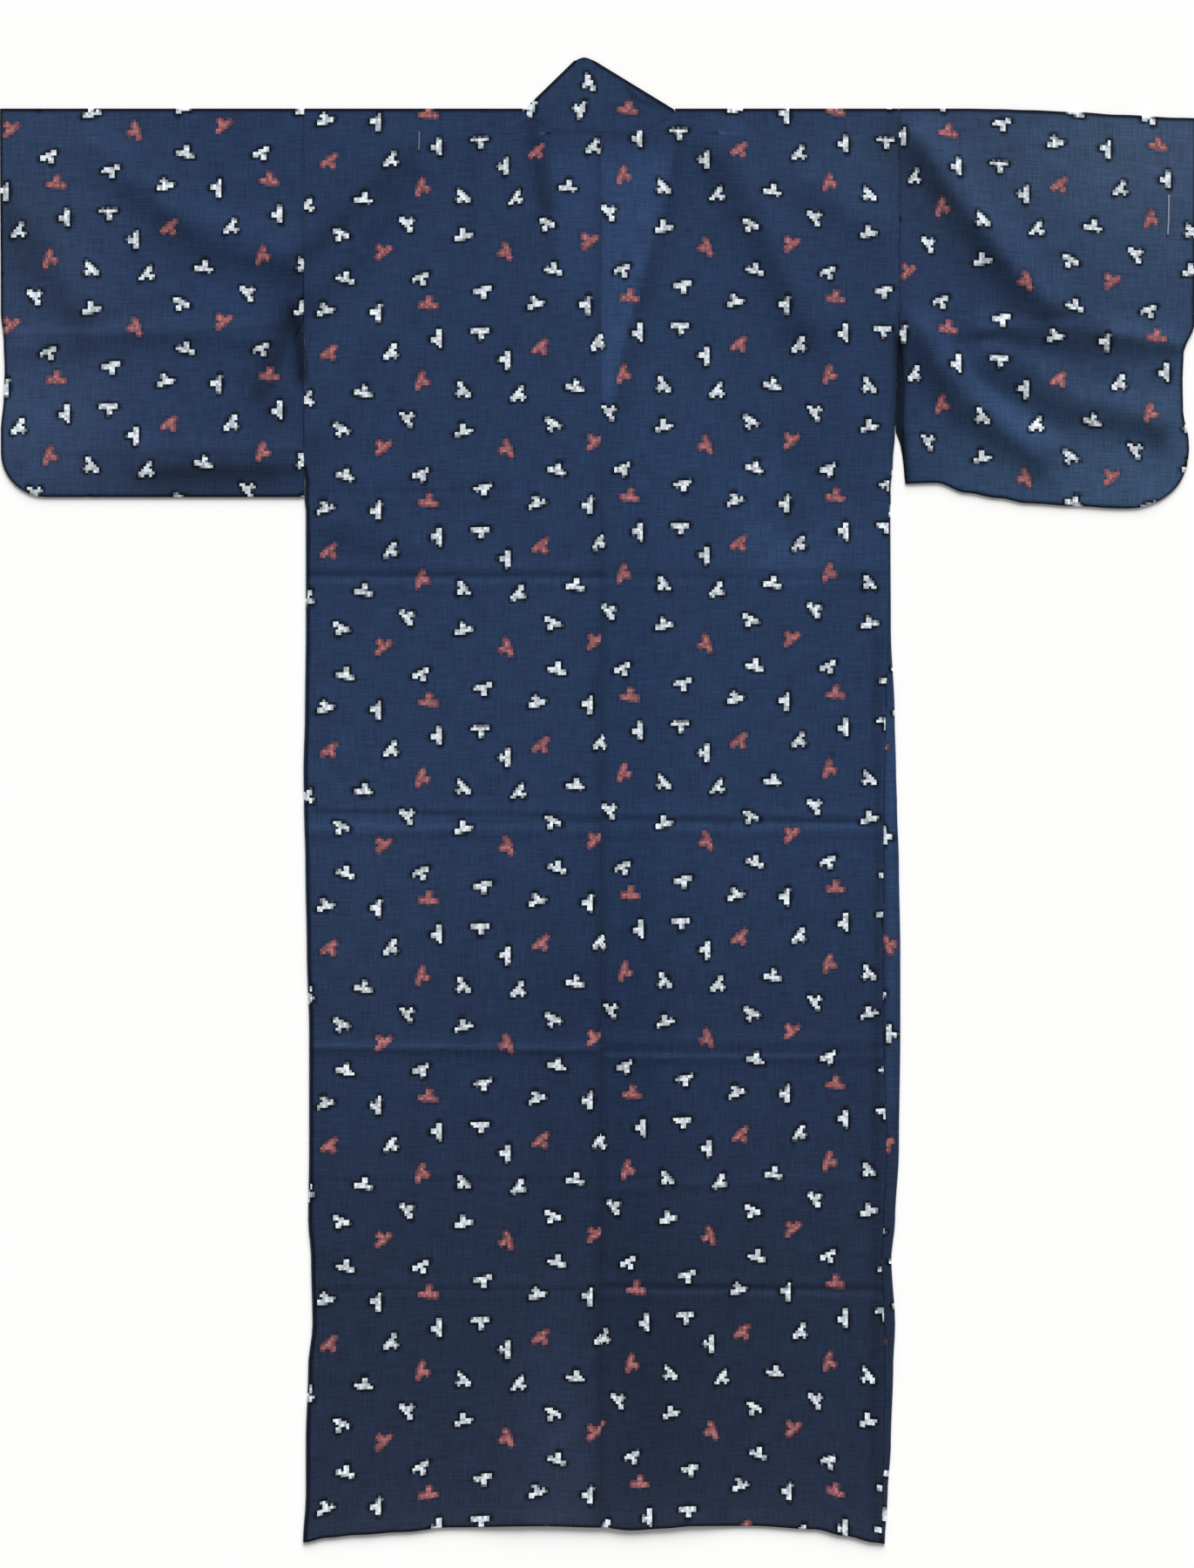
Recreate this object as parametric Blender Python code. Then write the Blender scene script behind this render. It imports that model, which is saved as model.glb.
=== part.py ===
"""A cotton kimono laid out flat with its back up.

+X is to the right, +Y towards the collar and +Z up, and the cloth lies on z = 0. The left front
with its overlap panel is the lowest layer, the right front laps over it, and the two backs lie
on both. Tables are in millimetres from the centre back seam at the shoulder line.
"""

import math
from collections import namedtuple

import bmesh
import bpy

MM = 0.001

# Cloth and layers
WALL = 1.2 * MM
LAYER_GAP = 0.5 * MM
SEAM_GAP = 0.3 * MM
STEP = WALL + LAYER_GAP
TURN_RADIUS = STEP / 2
BACK_LEVEL = STEP + WALL / 2
FRONT_LEVEL = WALL / 2

# Place of the shoulder line and the centre seam from the middle of the whole outline
PLACE_X = 3.0 * MM
PLACE_Y = 731.4 * MM

# Overall cut
SHOULDER_TO_HEM = 1500 * MM
SLEEVE_DEPTH = 410 * MM
SLEEVE_CORNER = {-1: 48 * MM, 1: 72 * MM}
NECK_DROP = 24 * MM
NECK_TOP = 2 * MM
NECK_POINT = {-1: 82.5 * MM, 1: 78.5 * MM}
NECK_POWER = 4
OVERLAP_TIP = 212 * MM
OVERLAP_TIP_WIDTH = 4 * MM
COLLAR_END = 750 * MM
COLLAR_END_SLANT = 6 * MM
HEM_BLEND = 260 * MM

# Where the fronts cross, the layer above eases up over the edge below it
LAP_MARGIN = 10 * MM
LAP_RAMP = 60 * MM
LAP_START = 180 * MM
LAP_FULL = 300 * MM

# The side seam opens into a slit above these depths
SLIT_END = 370 * MM
SEAM_START = 415 * MM
SEAM_CLEARING = 2.2

# Grid of each wall
BODY_COLUMNS = 14
ROLL_COLUMNS = 5
SLEEVE_COLUMNS = 16
OVERLAP_COLUMNS = 6
COLLAR_COLUMNS = 4
TURN_STEPS = 4
CORNER_STEPS = 4

# Depths of the grid's rows, in millimetres
SHOULDER_ROWS = (60, 110, 150, 185, 215, 240, 270, 300, 335, 370, 385, 400, 415)
WAIST_ROWS = (455, 550, 640, 700, 800, 890)
SKIRT_ROWS = (1100, 1175, 1215, 1285, 1325, 1400, 1450, 1500)
BACK_ROWS = SHOULDER_ROWS + WAIST_ROWS + (600, 940, 1050) + SKIRT_ROWS
NECK_ROWS = (24, 23.6, 21.6, 15, 8, 2)
CREASE_ROWS = (-2, -1, 0, 1, 2)
FRONT_ROWS = (12, 45, 90) + SHOULDER_ROWS[2:] + WAIST_ROWS + (735, 975) + SKIRT_ROWS
SLEEVE_ROWS = (8, 30, 55, 80, 105, 130, 155, 180, 215, 230, 245, 260, 275, 290, 305, 322)
SLEEVE_UNDER_ROWS = (8, 110, 215, 245, 275, 305)
SEAM_ROWS = (212, 240, 270, 300, 335, 370, 415, 455, 500, 550, 600, 640, 700, 750)
ARM_ROWS = (20, 60, 110, 160) + SEAM_ROWS
OVERLAP_ROWS = SEAM_ROWS + (756, 800, 890, 990) + SKIRT_ROWS

# The columns of the front are even at the shoulder and gather at its side by this depth
EVEN_UNTIL = 90 * MM

CLOTH_COLOUR = (0.022, 0.040, 0.090, 1.0)
CLOTH_ROUGHNESS = 0.85

Side = namedtuple("Side", "depth left right strip")
# Side edges of the body, and the width of front that is rolled onto the back at the right
SIDES = (
    Side(0, 314, 315, 0.4),
    Side(225, 314, 315, 0.4),
    Side(300, 314, 312.5, 0.4),
    Side(345, 314, 311, 0.4),
    Side(370, 314, 309, 0.4),
    Side(411, 314, 307, 0.4),
    Side(425, 312.5, 306.5, 0.4),
    Side(550, 312.5, 307, 1),
    Side(640, 313.5, 311, 8),
    Side(700, 315, 312.5, 11),
    Side(735, 314.5, 313.5, 13),
    Side(800, 313, 315.5, 15),
    Side(890, 311.5, 317, 17),
    Side(975, 309, 317, 17),
    Side(1100, 309, 315.5, 12),
    Side(1175, 310, 311.5, 11),
    Side(1215, 307, 307.5, 9),
    Side(1285, 305.5, 311.5, 10),
    Side(1325, 310, 309.5, 8),
    Side(1400, 312.5, 307, 6),
    Side(1450, 312.5, 303.5, 4),
    Side(1500, 315.5, 300.5, 2),
)

Hem = namedtuple("Hem", "x drop")
# How far the hem hangs below the cut length
HEMS = (
    Hem(-315, 16),
    Hem(-290, 11),
    Hem(-258, 8),
    Hem(-210, 5),
    Hem(-161, 0),
    Hem(-64, -1.5),
    Hem(0, 0),
    Hem(32, 3),
    Hem(65, 1),
    Hem(97, -1.5),
    Hem(161, -1.5),
    Hem(226, 2),
    Hem(258, 9),
    Hem(290, 16),
    Hem(303, 18),
)

FrontEdge = namedtuple("FrontEdge", "depth left right")
# Inner edge of each front, where the collar and then the overlap panel are sewn on
FRONT_EDGES = (
    FrontEdge(0, 82.5, 78.5),
    FrontEdge(212, 75, 73),
    FrontEdge(1600, 68, 68),
)

Lap = namedtuple("Lap", "depth seam free")
# The left front past its inner edge: the collar's seam and free edge; the right mirrors it
LAPS = (
    Lap(-20, -82, -28),
    Lap(60, -80, -28),
    Lap(212, -75, -22),
    Lap(750, 7, 82),
    Lap(1600, 7, 82),
)

Sleeve = namedtuple("Sleeve", "depth left_in left_under left_out right_in right_under right_out")
# Ends of the sleeve's upper and lower layers, from the centre seam
SLEEVES = (
    Sleeve(0, 314.3, 314.3, 636, 315.3, 315.3, 630),
    Sleeve(215, 314.3, 314.3, 635, 315.3, 315.3, 628),
    Sleeve(245, 324, 314.3, 632, 316, 315, 616.5),
    Sleeve(275, 319, 314.3, 631, 319, 314, 615.5),
    Sleeve(305, 314.3, 314.3, 632, 321, 313, 616),
    Sleeve(338, 314.3, 314.3, 635, 320, 312, 622),
    Sleeve(365, 314.3, 314.3, 635, 320, 316.5, 625),
    Sleeve(385, 314.3, 314.3, 635, 321, 320, 627),
    Sleeve(410, 314.3, 314.3, 635, 323, 322, 627),
)

Hang = namedtuple("Hang", "x top bottom")
# The top and bottom edges of the right sleeve, which droops outwards
RIGHT_HANG = (
    Hang(315, 0, 396),
    Hang(355, 0, 395),
    Hang(387, 0, 405.5),
    Hang(420, 0.5, 411),
    Hang(452, 1.5, 416.5),
    Hang(500, 3.5, 419.5),
    Hang(549, 6.5, 422),
    Hang(612, 9.7, 424),
    Hang(630, 10, 424),
)

Crease = namedtuple("Crease", "depth left right spread")
# Creases of storage across the back: a ridge is above 0, and a trough with two banks below it
CREASES = (
    Crease(494, -1.2, -0.4, 9),
    Crease(755, -1.6, -1.3, 9),
    Crease(995, 1.5, -1.4, 9),
)
Fold = namedtuple("Fold", "x0 depth0 x1 depth1 height spread")
# Soft folds that stand up from the back of the body
BODY_FOLDS = (
    Fold(-203, 59, -305, 190, 4, 24),
    Fold(-249, 234, -298, 345, 3, 22),
    Fold(-280, 440, -210, 460, 2, 20),
    Fold(120, 45, 203, 225, 4, 26),
    Fold(221, 77, 290, 124, 3, 20),
    Fold(180, 400, 280, 480, 2.5, 26),
)
SLEEVE_FOLDS = {
    -1: (
        Fold(-535, 41, -461, 105, 3, 22),
        Fold(-461, 105, -335, 155, 4, 22),
        Fold(-600, 120, -544, 206, 3, 22),
        Fold(-615, 250, -484, 236, 2.5, 14),
        Fold(-484, 236, -360, 241, 2.5, 14),
        Fold(-484, 372, -330, 372, 3, 18),
    ),
    1: (
        Fold(340, 35, 428, 155, 8, 20),
        Fold(428, 155, 470, 205, 7, 20),
        Fold(340, 240, 385, 310, 7, 20),
        Fold(385, 310, 465, 360, 6, 20),
        Fold(406, 232, 600, 246, 4, 15),
        Fold(415, 262, 489, 312, 6, 20),
        Fold(489, 312, 590, 330, 5, 20),
    ),
}

Turnover = namedtuple("Turnover", "seam_x seam_y free_x free_y")
# Where the collar is folded under at each side of the neck
FOLD_LEFT = Turnover(-79.6, -2, -27, 51.5)
FOLD_RIGHT = Turnover(75.4, -1.5, -7, 50.5)

Rung = namedtuple("Rung", "side depth free_x free_y")
# Collar round the back of the neck: a depth on the neck seam, and the free end above it
NECK_RUNGS = (
    Rung(-1, 8, -24.5, 53),
    Rung(-1, 15, -22, 54),
    Rung(-1, 21.6, -20, 54.7),
    Rung(-1, 23.6, -18, 55),
    Rung(-1, 24, -16.5, 54.8),
    Rung(1, 23.6, -14.5, 54.4),
    Rung(1, 21.6, -12.5, 53.7),
    Rung(1, 15, -10.5, 52.8),
    Rung(1, 8, -8, 51.8),
)

Station = namedtuple("Station", "layer depth turn")


def soft(share):
    """Eased share from 0 to 1."""
    share = min(max(share, 0.0), 1.0)
    return share * share * (3 - 2 * share)


def straight(share):
    return share


def mix(low, high, share):
    return low + (high - low) * share


def read(table, at, column, ease=soft):
    """A column of a table, in metres, at a place along the table's first column."""
    place = at / MM
    before = table[0]
    for row in table:
        if row[0] >= place:
            break
        before = row
    else:
        return getattr(before, column) * MM
    if row is before:
        return getattr(row, column) * MM
    share = ease((place - before[0]) / (row[0] - before[0]))
    return mix(getattr(before, column), getattr(row, column), share) * MM


def side_name(side):
    return "left" if side < 0 else "right"


def lap_free(depth):
    """X of the left front's free edge."""
    return read(LAPS, depth, "free", straight)


def right_rise(x, depth):
    """How far the right front is lifted off the ground by the left front under it."""
    over_left = soft((lap_free(depth) + LAP_MARGIN + LAP_RAMP - x) / LAP_RAMP)
    return STEP * over_left * soft((depth - LAP_START) / (LAP_FULL - LAP_START))


def back_rise(x, depth):
    """How far the backs are lifted by the crossing fronts."""
    over_right = soft((x + lap_free(depth) + LAP_MARGIN + LAP_RAMP) / LAP_RAMP)
    return right_rise(x, depth) * over_right


def crease_height(x, depth):
    total = 0.0
    for crease in CREASES:
        height = crease.left if x < 0 else crease.right
        offset = (depth / MM - crease.depth) / crease.spread
        ridge = math.exp(-offset * offset)
        banks = offset * offset * math.exp(1 - offset * offset)
        total += height * MM * ridge if height > 0 else -height * MM * banks
    return total


def fold_height(folds, x, depth):
    """Height of the soft folds at a place, each a rounded ridge along a line."""
    highest = 0.0
    for fold in folds:
        along_x = fold.x1 - fold.x0
        along_depth = fold.depth1 - fold.depth0
        length = math.hypot(along_x, along_depth)
        from_x = x / MM - fold.x0
        from_depth = depth / MM - fold.depth0
        share = (from_x * along_x + from_depth * along_depth) / length**2
        share = min(max(share, 0.0), 1.0)
        gap = math.hypot(from_x - share * along_x, from_depth - share * along_depth)
        ridge = fold.height * MM * math.exp(-((gap / fold.spread) ** 2))
        highest = max(highest, ridge)
    return highest


def hemmed(x, depth):
    """Y of a place on the body, with the hem's uneven hang eased in towards the bottom."""
    near_hem = soft((depth - SHOULDER_TO_HEM + HEM_BLEND) / HEM_BLEND)
    return -depth - read(HEMS, x, "drop") * near_hem


def neckline(side, depth):
    """Distance of the back's inner edge from the centre at a depth above the neck seam."""
    share = (NECK_DROP - depth) / (NECK_DROP - NECK_TOP)
    return NECK_POINT[side] * share ** (1 / NECK_POWER)


def roll_of(depth):
    """How far the side of the front is rolled up to its seam, from 0 to 1."""
    return soft((depth - SLIT_END) / (SEAM_START - SLIT_END))


def lip_reach(depth):
    """How far half the wall sticks out sideways where the side is only part rolled."""
    return WALL / 2 * math.sin(math.pi * roll_of(depth))


def body_back(side, depth, across):
    edge = read(SIDES, depth, side_name(side))
    strip = read(SIDES, depth, "strip") if side > 0 else SIDES[0].strip * MM
    clear = min(1.0, SEAM_CLEARING * roll_of(depth))
    outer = edge - clear * (TURN_RADIUS + WALL / 2 + strip + SEAM_GAP) - lip_reach(depth)
    inner = SEAM_GAP / 2 if depth >= NECK_DROP else neckline(side, depth)
    x = side * mix(outer, inner, across)
    lift = back_rise(x, depth) + crease_height(x, depth) + fold_height(BODY_FOLDS, x, depth)
    return x, hemmed(x, depth), BACK_LEVEL + lift


def body_turn(side, turn, across):
    outer = read(SIDES, 0.0, side_name(side))
    x = side * mix(outer, NECK_POINT[side], across)
    middle = (BACK_LEVEL + FRONT_LEVEL) / 2
    return x, TURN_RADIUS * math.sin(turn), middle + TURN_RADIUS * math.cos(turn)


def body_front(side, depth, across):
    edge = read(SIDES, depth, side_name(side))
    strip = read(SIDES, depth, "strip") if side > 0 else SIDES[0].strip * MM
    inner = read(FRONT_EDGES, depth, side_name(side), straight)
    roll = roll_of(depth)
    arc = math.pi * TURN_RADIUS
    outer = edge - mix(arc + strip, TURN_RADIUS + WALL / 2, roll) - lip_reach(depth)
    column = across * BODY_COLUMNS
    if column >= ROLL_COLUMNS:
        share = (column - ROLL_COLUMNS) / (BODY_COLUMNS - ROLL_COLUMNS)
        x = side * mix(outer, inner, share)
        rise = right_rise(x, depth) if side > 0 else 0.0
        return x, hemmed(x, depth), FRONT_LEVEL + rise
    turned = min(1.0, (ROLL_COLUMNS - column) / (ROLL_COLUMNS - 1))
    flat = strip if column < 1 else 0.0
    angle = math.pi * roll * turned
    if roll > 0:
        radius = TURN_RADIUS / roll
        reach = radius * math.sin(angle)
        height = radius * (1 - math.cos(angle))
    else:
        reach = arc * turned
        height = 0.0
    x = side * (outer + reach + flat * math.cos(angle))
    return x, hemmed(x, depth), FRONT_LEVEL + height + flat * math.sin(angle)


def body_point(side, station, across):
    if station.layer == "back":
        return body_back(side, station.depth, across)
    if station.layer == "turn":
        return body_turn(side, station.turn, across)
    rolled = body_front(side, station.depth, across)
    even_outer = read(SIDES, station.depth, side_name(side))
    even_inner = read(FRONT_EDGES, station.depth, side_name(side), straight)
    even_x = side * mix(even_outer, even_inner, across)
    spread = soft(station.depth / EVEN_UNTIL)
    return mix(even_x, rolled[0], spread), rolled[1], rolled[2]


def body_stations():
    depths = set(BACK_ROWS)
    for crease in CREASES:
        depths |= {crease.depth + crease.spread * row for row in CREASE_ROWS}
    stations = [Station("back", depth * MM, 0) for depth in sorted(depths, reverse=True)]
    stations += [Station("back", depth * MM, 0) for depth in NECK_ROWS]
    for step in range(TURN_STEPS + 1):
        stations.append(Station("turn", 0, math.pi * step / TURN_STEPS))
    stations += [Station("front", depth * MM, 0) for depth in sorted(FRONT_ROWS)]
    return stations


def sleeve_point(side, station, across):
    name = side_name(side)
    depth = station.depth
    layer = "in" if station.layer == "back" else "under"
    inner = read(SLEEVES, depth, f"{name}_{layer}")
    outer = read(SLEEVES, depth, f"{name}_out")
    corner = SLEEVE_CORNER[side]
    into = max(0.0, depth - (SLEEVE_DEPTH - corner)) / corner
    outer -= corner * (1 - math.sqrt(max(0.0, 1 - into * into)))
    x = mix(inner, outer, across)
    if side > 0:
        top = read(RIGHT_HANG, x, "top")
        bottom = read(RIGHT_HANG, x, "bottom")
    else:
        top = 0.0
        bottom = SLEEVE_DEPTH
    y = -mix(top, bottom, depth / SLEEVE_DEPTH)
    middle = (BACK_LEVEL + FRONT_LEVEL) / 2
    if station.layer == "turn":
        y += TURN_RADIUS * math.sin(station.turn)
        return side * x, y, middle + TURN_RADIUS * math.cos(station.turn)
    if station.layer == "front":
        return side * x, y, FRONT_LEVEL
    return side * x, y, BACK_LEVEL + fold_height(SLEEVE_FOLDS[side], side * x, -y)


def sleeve_stations(side):
    corner = SLEEVE_CORNER[side]
    rounded = []
    for step in range(CORNER_STEPS + 1):
        angle = math.pi / 2 * step / CORNER_STEPS
        rounded.append(SLEEVE_DEPTH - corner * (1 - math.sin(angle)))
    upper = [depth * MM for depth in SLEEVE_ROWS] + rounded
    under = [depth * MM for depth in SLEEVE_UNDER_ROWS] + rounded
    stations = [Station("back", depth, 0) for depth in reversed(upper)]
    for step in range(TURN_STEPS + 1):
        stations.append(Station("turn", 0, math.pi * step / TURN_STEPS))
    return stations + [Station("front", depth, 0) for depth in under]


def overlap_point(side, depth, across):
    """A place on an overlap panel, from its seam with the front to its free or collar edge."""
    seam = SEAM_GAP - read(FRONT_EDGES, depth, side_name(side), straight)
    x = -side * mix(seam, overlap_edge(depth), across)
    rise = right_rise(x, depth) if side > 0 else 0.0
    return x, hemmed(x, depth), FRONT_LEVEL + rise


def overlap_edge(depth):
    """X of the left overlap panel's outer edge: the slanted collar seam, then the front edge."""
    seam = read(LAPS, depth, "seam", straight)
    free = lap_free(depth)
    slant = min(max((depth - COLLAR_END) / COLLAR_END_SLANT, 0.0), 1.0)
    tip = OVERLAP_TIP_WIDTH * max(0.0, 1 - (depth - OVERLAP_TIP) / OVERLAP_TIP)
    return mix(seam + min(tip, OVERLAP_TIP_WIDTH), free, slant)


def collar_rungs():
    """Rungs of the collar, from its end on the left front, round the neck, to its end on the right."""
    left_arm = [arm_rung(-1, depth) for depth in reversed(ARM_ROWS)]
    right_arm = [arm_rung(1, depth) for depth in ARM_ROWS]
    left_turn = turn_rungs(FOLD_LEFT, False)
    right_turn = turn_rungs(FOLD_RIGHT, True)
    neck = []
    for rung in NECK_RUNGS:
        seam = (rung.side * neckline(rung.side, rung.depth * MM), SEAM_GAP - rung.depth * MM)
        neck.append(flat_rung(seam, (rung.free_x * MM, rung.free_y * MM), BACK_LEVEL))
    return left_arm + left_turn + neck + right_turn + right_arm


def flat_rung(seam, free, height):
    points = []
    for column in range(COLLAR_COLUMNS + 1):
        share = column / COLLAR_COLUMNS
        points.append((mix(seam[0], free[0], share), mix(seam[1], free[1], share), height))
    return points


def arm_rung(side, depth):
    """Across a collar arm that lies under the back, from its seam to its free edge."""
    if depth * MM < OVERLAP_TIP:
        seam_x = -read(FRONT_EDGES, depth * MM, side_name(side), straight)
    else:
        seam_x = overlap_edge(min(depth * MM, COLLAR_END))
    seam_x += SEAM_GAP
    free_x = lap_free(depth * MM)
    end = COLLAR_END_SLANT if depth == ARM_ROWS[-1] else 0.0
    points = []
    for column in range(COLLAR_COLUMNS + 1):
        share = column / COLLAR_COLUMNS
        x = -side * mix(seam_x, free_x, share)
        y = -depth * MM - end * share + (SEAM_GAP if end else 0.0)
        rise = right_rise(x, -y) if side > 0 else 0.0
        points.append((x, y, FRONT_LEVEL + rise))
    return points


def turn_rungs(fold, downwards):
    """The collar turned over along a fold line, between its upper and lower layers."""
    along_x = fold.free_x - fold.seam_x
    along_y = fold.free_y - fold.seam_y
    length = math.hypot(along_x, along_y)
    outward = (-abs(along_y) / length, abs(along_x) / length)
    if downwards:
        outward = (-outward[0], outward[1])
    middle = (BACK_LEVEL + FRONT_LEVEL) / 2
    rungs = []
    for step in range(TURN_STEPS + 1):
        turn = math.pi * step / TURN_STEPS
        swell = TURN_RADIUS * math.sin(turn)
        height = middle + TURN_RADIUS * math.cos(turn) * (1 if downwards else -1)
        seam = (fold.seam_x * MM + outward[0] * swell, fold.seam_y * MM + outward[1] * swell)
        free = (fold.free_x * MM + outward[0] * swell, fold.free_y * MM + outward[1] * swell)
        rungs.append(flat_rung(seam, free, height))
    return rungs


def cloth_material(name):
    material = bpy.data.materials.new(name)
    material.use_nodes = True
    shader = material.node_tree.nodes["Principled BSDF"]
    shader.inputs["Base Color"].default_value = CLOTH_COLOUR
    shader.inputs["Roughness"].default_value = CLOTH_ROUGHNESS
    shader.inputs["Metallic"].default_value = 0.0
    return material


def make_wall(name, rows):
    """One closed wall of cloth through rows of points, from a grid that is bent and thickened."""
    lines = len(rows)
    columns = len(rows[0])
    form = bmesh.new()
    bmesh.ops.create_grid(form, x_segments=columns - 1, y_segments=lines - 1, size=1)
    for vert in form.verts:
        column = round((vert.co.x + 1) / 2 * (columns - 1))
        line = round((vert.co.y + 1) / 2 * (lines - 1))
        x, y, z = rows[line][column]
        vert.co = (x + PLACE_X, y + PLACE_Y, z)
    mesh = bpy.data.meshes.new(name)
    form.to_mesh(mesh)
    form.free()
    mesh.materials.append(cloth_material(name))
    piece = bpy.data.objects.new(name, mesh)
    bpy.context.scene.collection.objects.link(piece)
    thick = piece.modifiers.new("Cloth", "SOLIDIFY")
    thick.thickness = WALL
    thick.offset = 0
    thick.use_even_offset = True
    return piece


def across_steps(columns):
    return [column / columns for column in range(columns + 1)]


def make_body(side):
    rows = []
    for station in body_stations():
        rows.append([body_point(side, station, across) for across in across_steps(BODY_COLUMNS)])
    return make_wall(f"body_{side_name(side)}", rows)


def make_sleeve(side):
    rows = []
    for station in sleeve_stations(side):
        rows.append([sleeve_point(side, station, across) for across in across_steps(SLEEVE_COLUMNS)])
    return make_wall(f"sleeve_{side_name(side)}", rows)


def make_overlap(side):
    rows = []
    for depth in OVERLAP_ROWS:
        steps = across_steps(OVERLAP_COLUMNS)
        rows.append([overlap_point(side, depth * MM, across) for across in steps])
    return make_wall(f"okumi_{side_name(side)}", rows)


def main():
    for old in list(bpy.data.objects):
        bpy.data.objects.remove(old)
    for side in (-1, 1):
        make_body(side)
        make_sleeve(side)
        make_overlap(side)
    make_wall("collar", collar_rungs())


main()
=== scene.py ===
"""Looks of a cotton kimono laid out flat with its back up.

Every sewn piece is a closed wall of thin cloth on the form of its own solid. Tables are in
millimetres from the centre back seam at the shoulder line: x to the right, depth to the hem.
"""

import logging
import math
from collections.abc import Callable, Sequence
from dataclasses import dataclass, field
from enum import Enum
from functools import cached_property
from typing import NamedTuple

import bmesh
import bpy
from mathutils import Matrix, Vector, noise


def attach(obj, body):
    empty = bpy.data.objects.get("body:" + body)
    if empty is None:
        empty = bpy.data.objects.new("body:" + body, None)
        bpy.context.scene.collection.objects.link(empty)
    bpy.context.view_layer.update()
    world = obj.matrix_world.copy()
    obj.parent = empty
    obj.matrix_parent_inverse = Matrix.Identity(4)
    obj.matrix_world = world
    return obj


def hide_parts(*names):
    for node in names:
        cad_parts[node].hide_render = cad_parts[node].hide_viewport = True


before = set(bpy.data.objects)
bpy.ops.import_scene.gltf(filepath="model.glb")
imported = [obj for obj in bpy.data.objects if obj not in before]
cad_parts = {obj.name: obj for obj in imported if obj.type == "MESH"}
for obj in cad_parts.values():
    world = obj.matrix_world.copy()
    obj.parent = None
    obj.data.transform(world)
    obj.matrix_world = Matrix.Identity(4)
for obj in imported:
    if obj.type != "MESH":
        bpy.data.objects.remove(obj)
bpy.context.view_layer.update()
MM = 0.001

# Size of the print's repeat, in millimetres, and rows round half a fold
REPEAT_WIDE = 224.0
REPEAT_LONG = 209.0
TURN_STEPS = 8

# Painted shade at outer edges, where the cloth turns: what is left of the ground's colour, where it
# fades and over what
RIM_LEFT = 0.16
RIM_START = 1.3
RIM_REACH = 2.5

# An input or output of a material's node
Socket = bpy.types.NodeSocket

log = logging.getLogger("kimono")


class Side(Enum):
    """Which half of the garment, with the sign of its x."""

    LEFT = -1
    RIGHT = 1

    @property
    def label(self) -> str:
        """The side as the nodes' names have it."""
        return self.name.lower()


class Layer(Enum):
    """Where a row of a piece lies: on top, round a fold, or underneath."""

    BACK = "back"
    TURN = "turn"
    FRONT = "front"


class Dye(Enum):
    """Colours that the birds are printed in."""

    WHITE = "white"
    RED = "red"


class Edge(NamedTuple):
    """Side edges of the body, and the front that is rolled onto the back at the right."""

    depth: float
    left: float
    right: float
    strip: float


class Hem(NamedTuple):
    """How far the hem hangs below the cut length."""

    x: float
    drop: float


class FrontEdge(NamedTuple):
    """Inner edge of each front, where the collar and then the overlap panel are sewn on."""

    depth: float
    left: float
    right: float


class Lap(NamedTuple):
    """The left front past its inner edge: the collar's seam and its free edge."""

    depth: float
    seam: float
    free: float


class SleeveEnd(NamedTuple):
    """Ends of the sleeves' upper and lower layers, from the centre seam."""

    depth: float
    left_in: float
    left_under: float
    left_out: float
    right_in: float
    right_under: float
    right_out: float


class Hang(NamedTuple):
    """Top and bottom edges of the right sleeve, which droops outwards."""

    x: float
    top: float
    bottom: float


class Bend(NamedTuple):
    """A place that a loose thread passes."""

    depth: float
    x: float


class Crease(NamedTuple):
    """A storage crease across the back: a ridge above 0, a trough with two banks below it."""

    depth: float
    left: float
    right: float
    spread: float


class Fold(NamedTuple):
    """A fold or a pressed line: a soft ridge, or a trough below 0, from one place to another."""

    x0: float
    depth0: float
    x1: float
    depth1: float
    height: float
    spread: float


class Turnover(NamedTuple):
    """A line along which the collar is folded under."""

    seam_x: float
    seam_y: float
    free_x: float
    free_y: float


class Rung(NamedTuple):
    """A line across the collar: a depth on the neck seam, and the free end above it."""

    side: int
    depth: float
    free_x: float
    free_y: float


class Hollow(NamedTuple):
    """Sides of the place between the collar's arms where the back sinks in."""

    depth: float
    left: float
    right: float


class Fall(NamedTuple):
    """Where one bird of the repeat falls on a panel, at two places a repeat apart."""

    left_x: float
    left_depth: float
    right_x: float
    right_depth: float


class Shade(NamedTuple):
    """How much of the ground's red, green and blue is left at a depth down the back."""

    depth: float
    red: float
    green: float
    blue: float


class Streak(NamedTuple):
    """A way of painted shade, or of painted light where its gain is above 0, at a fold, slit or seam,
    fading to the left and right of it.
    """

    way: tuple[tuple[float, float], ...]
    left_reach: float
    right_reach: float
    gain: float


class Drift(NamedTuple):
    """A place where the print lies off its even repeat, and by how much."""

    x: float
    depth: float
    wide: float
    long: float
    to_x: float
    to_depth: float


class Patch(NamedTuple):
    """A soft round place where the ground is lighter or darker, and by how much."""

    x: float
    depth: float
    wide: float
    long: float
    red: float
    green: float
    blue: float


class Bird(NamedTuple):
    """One bird of the print: its place in the repeat, and where its tail points in degrees."""

    x: float
    y: float
    heading: float
    dye: Dye


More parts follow.
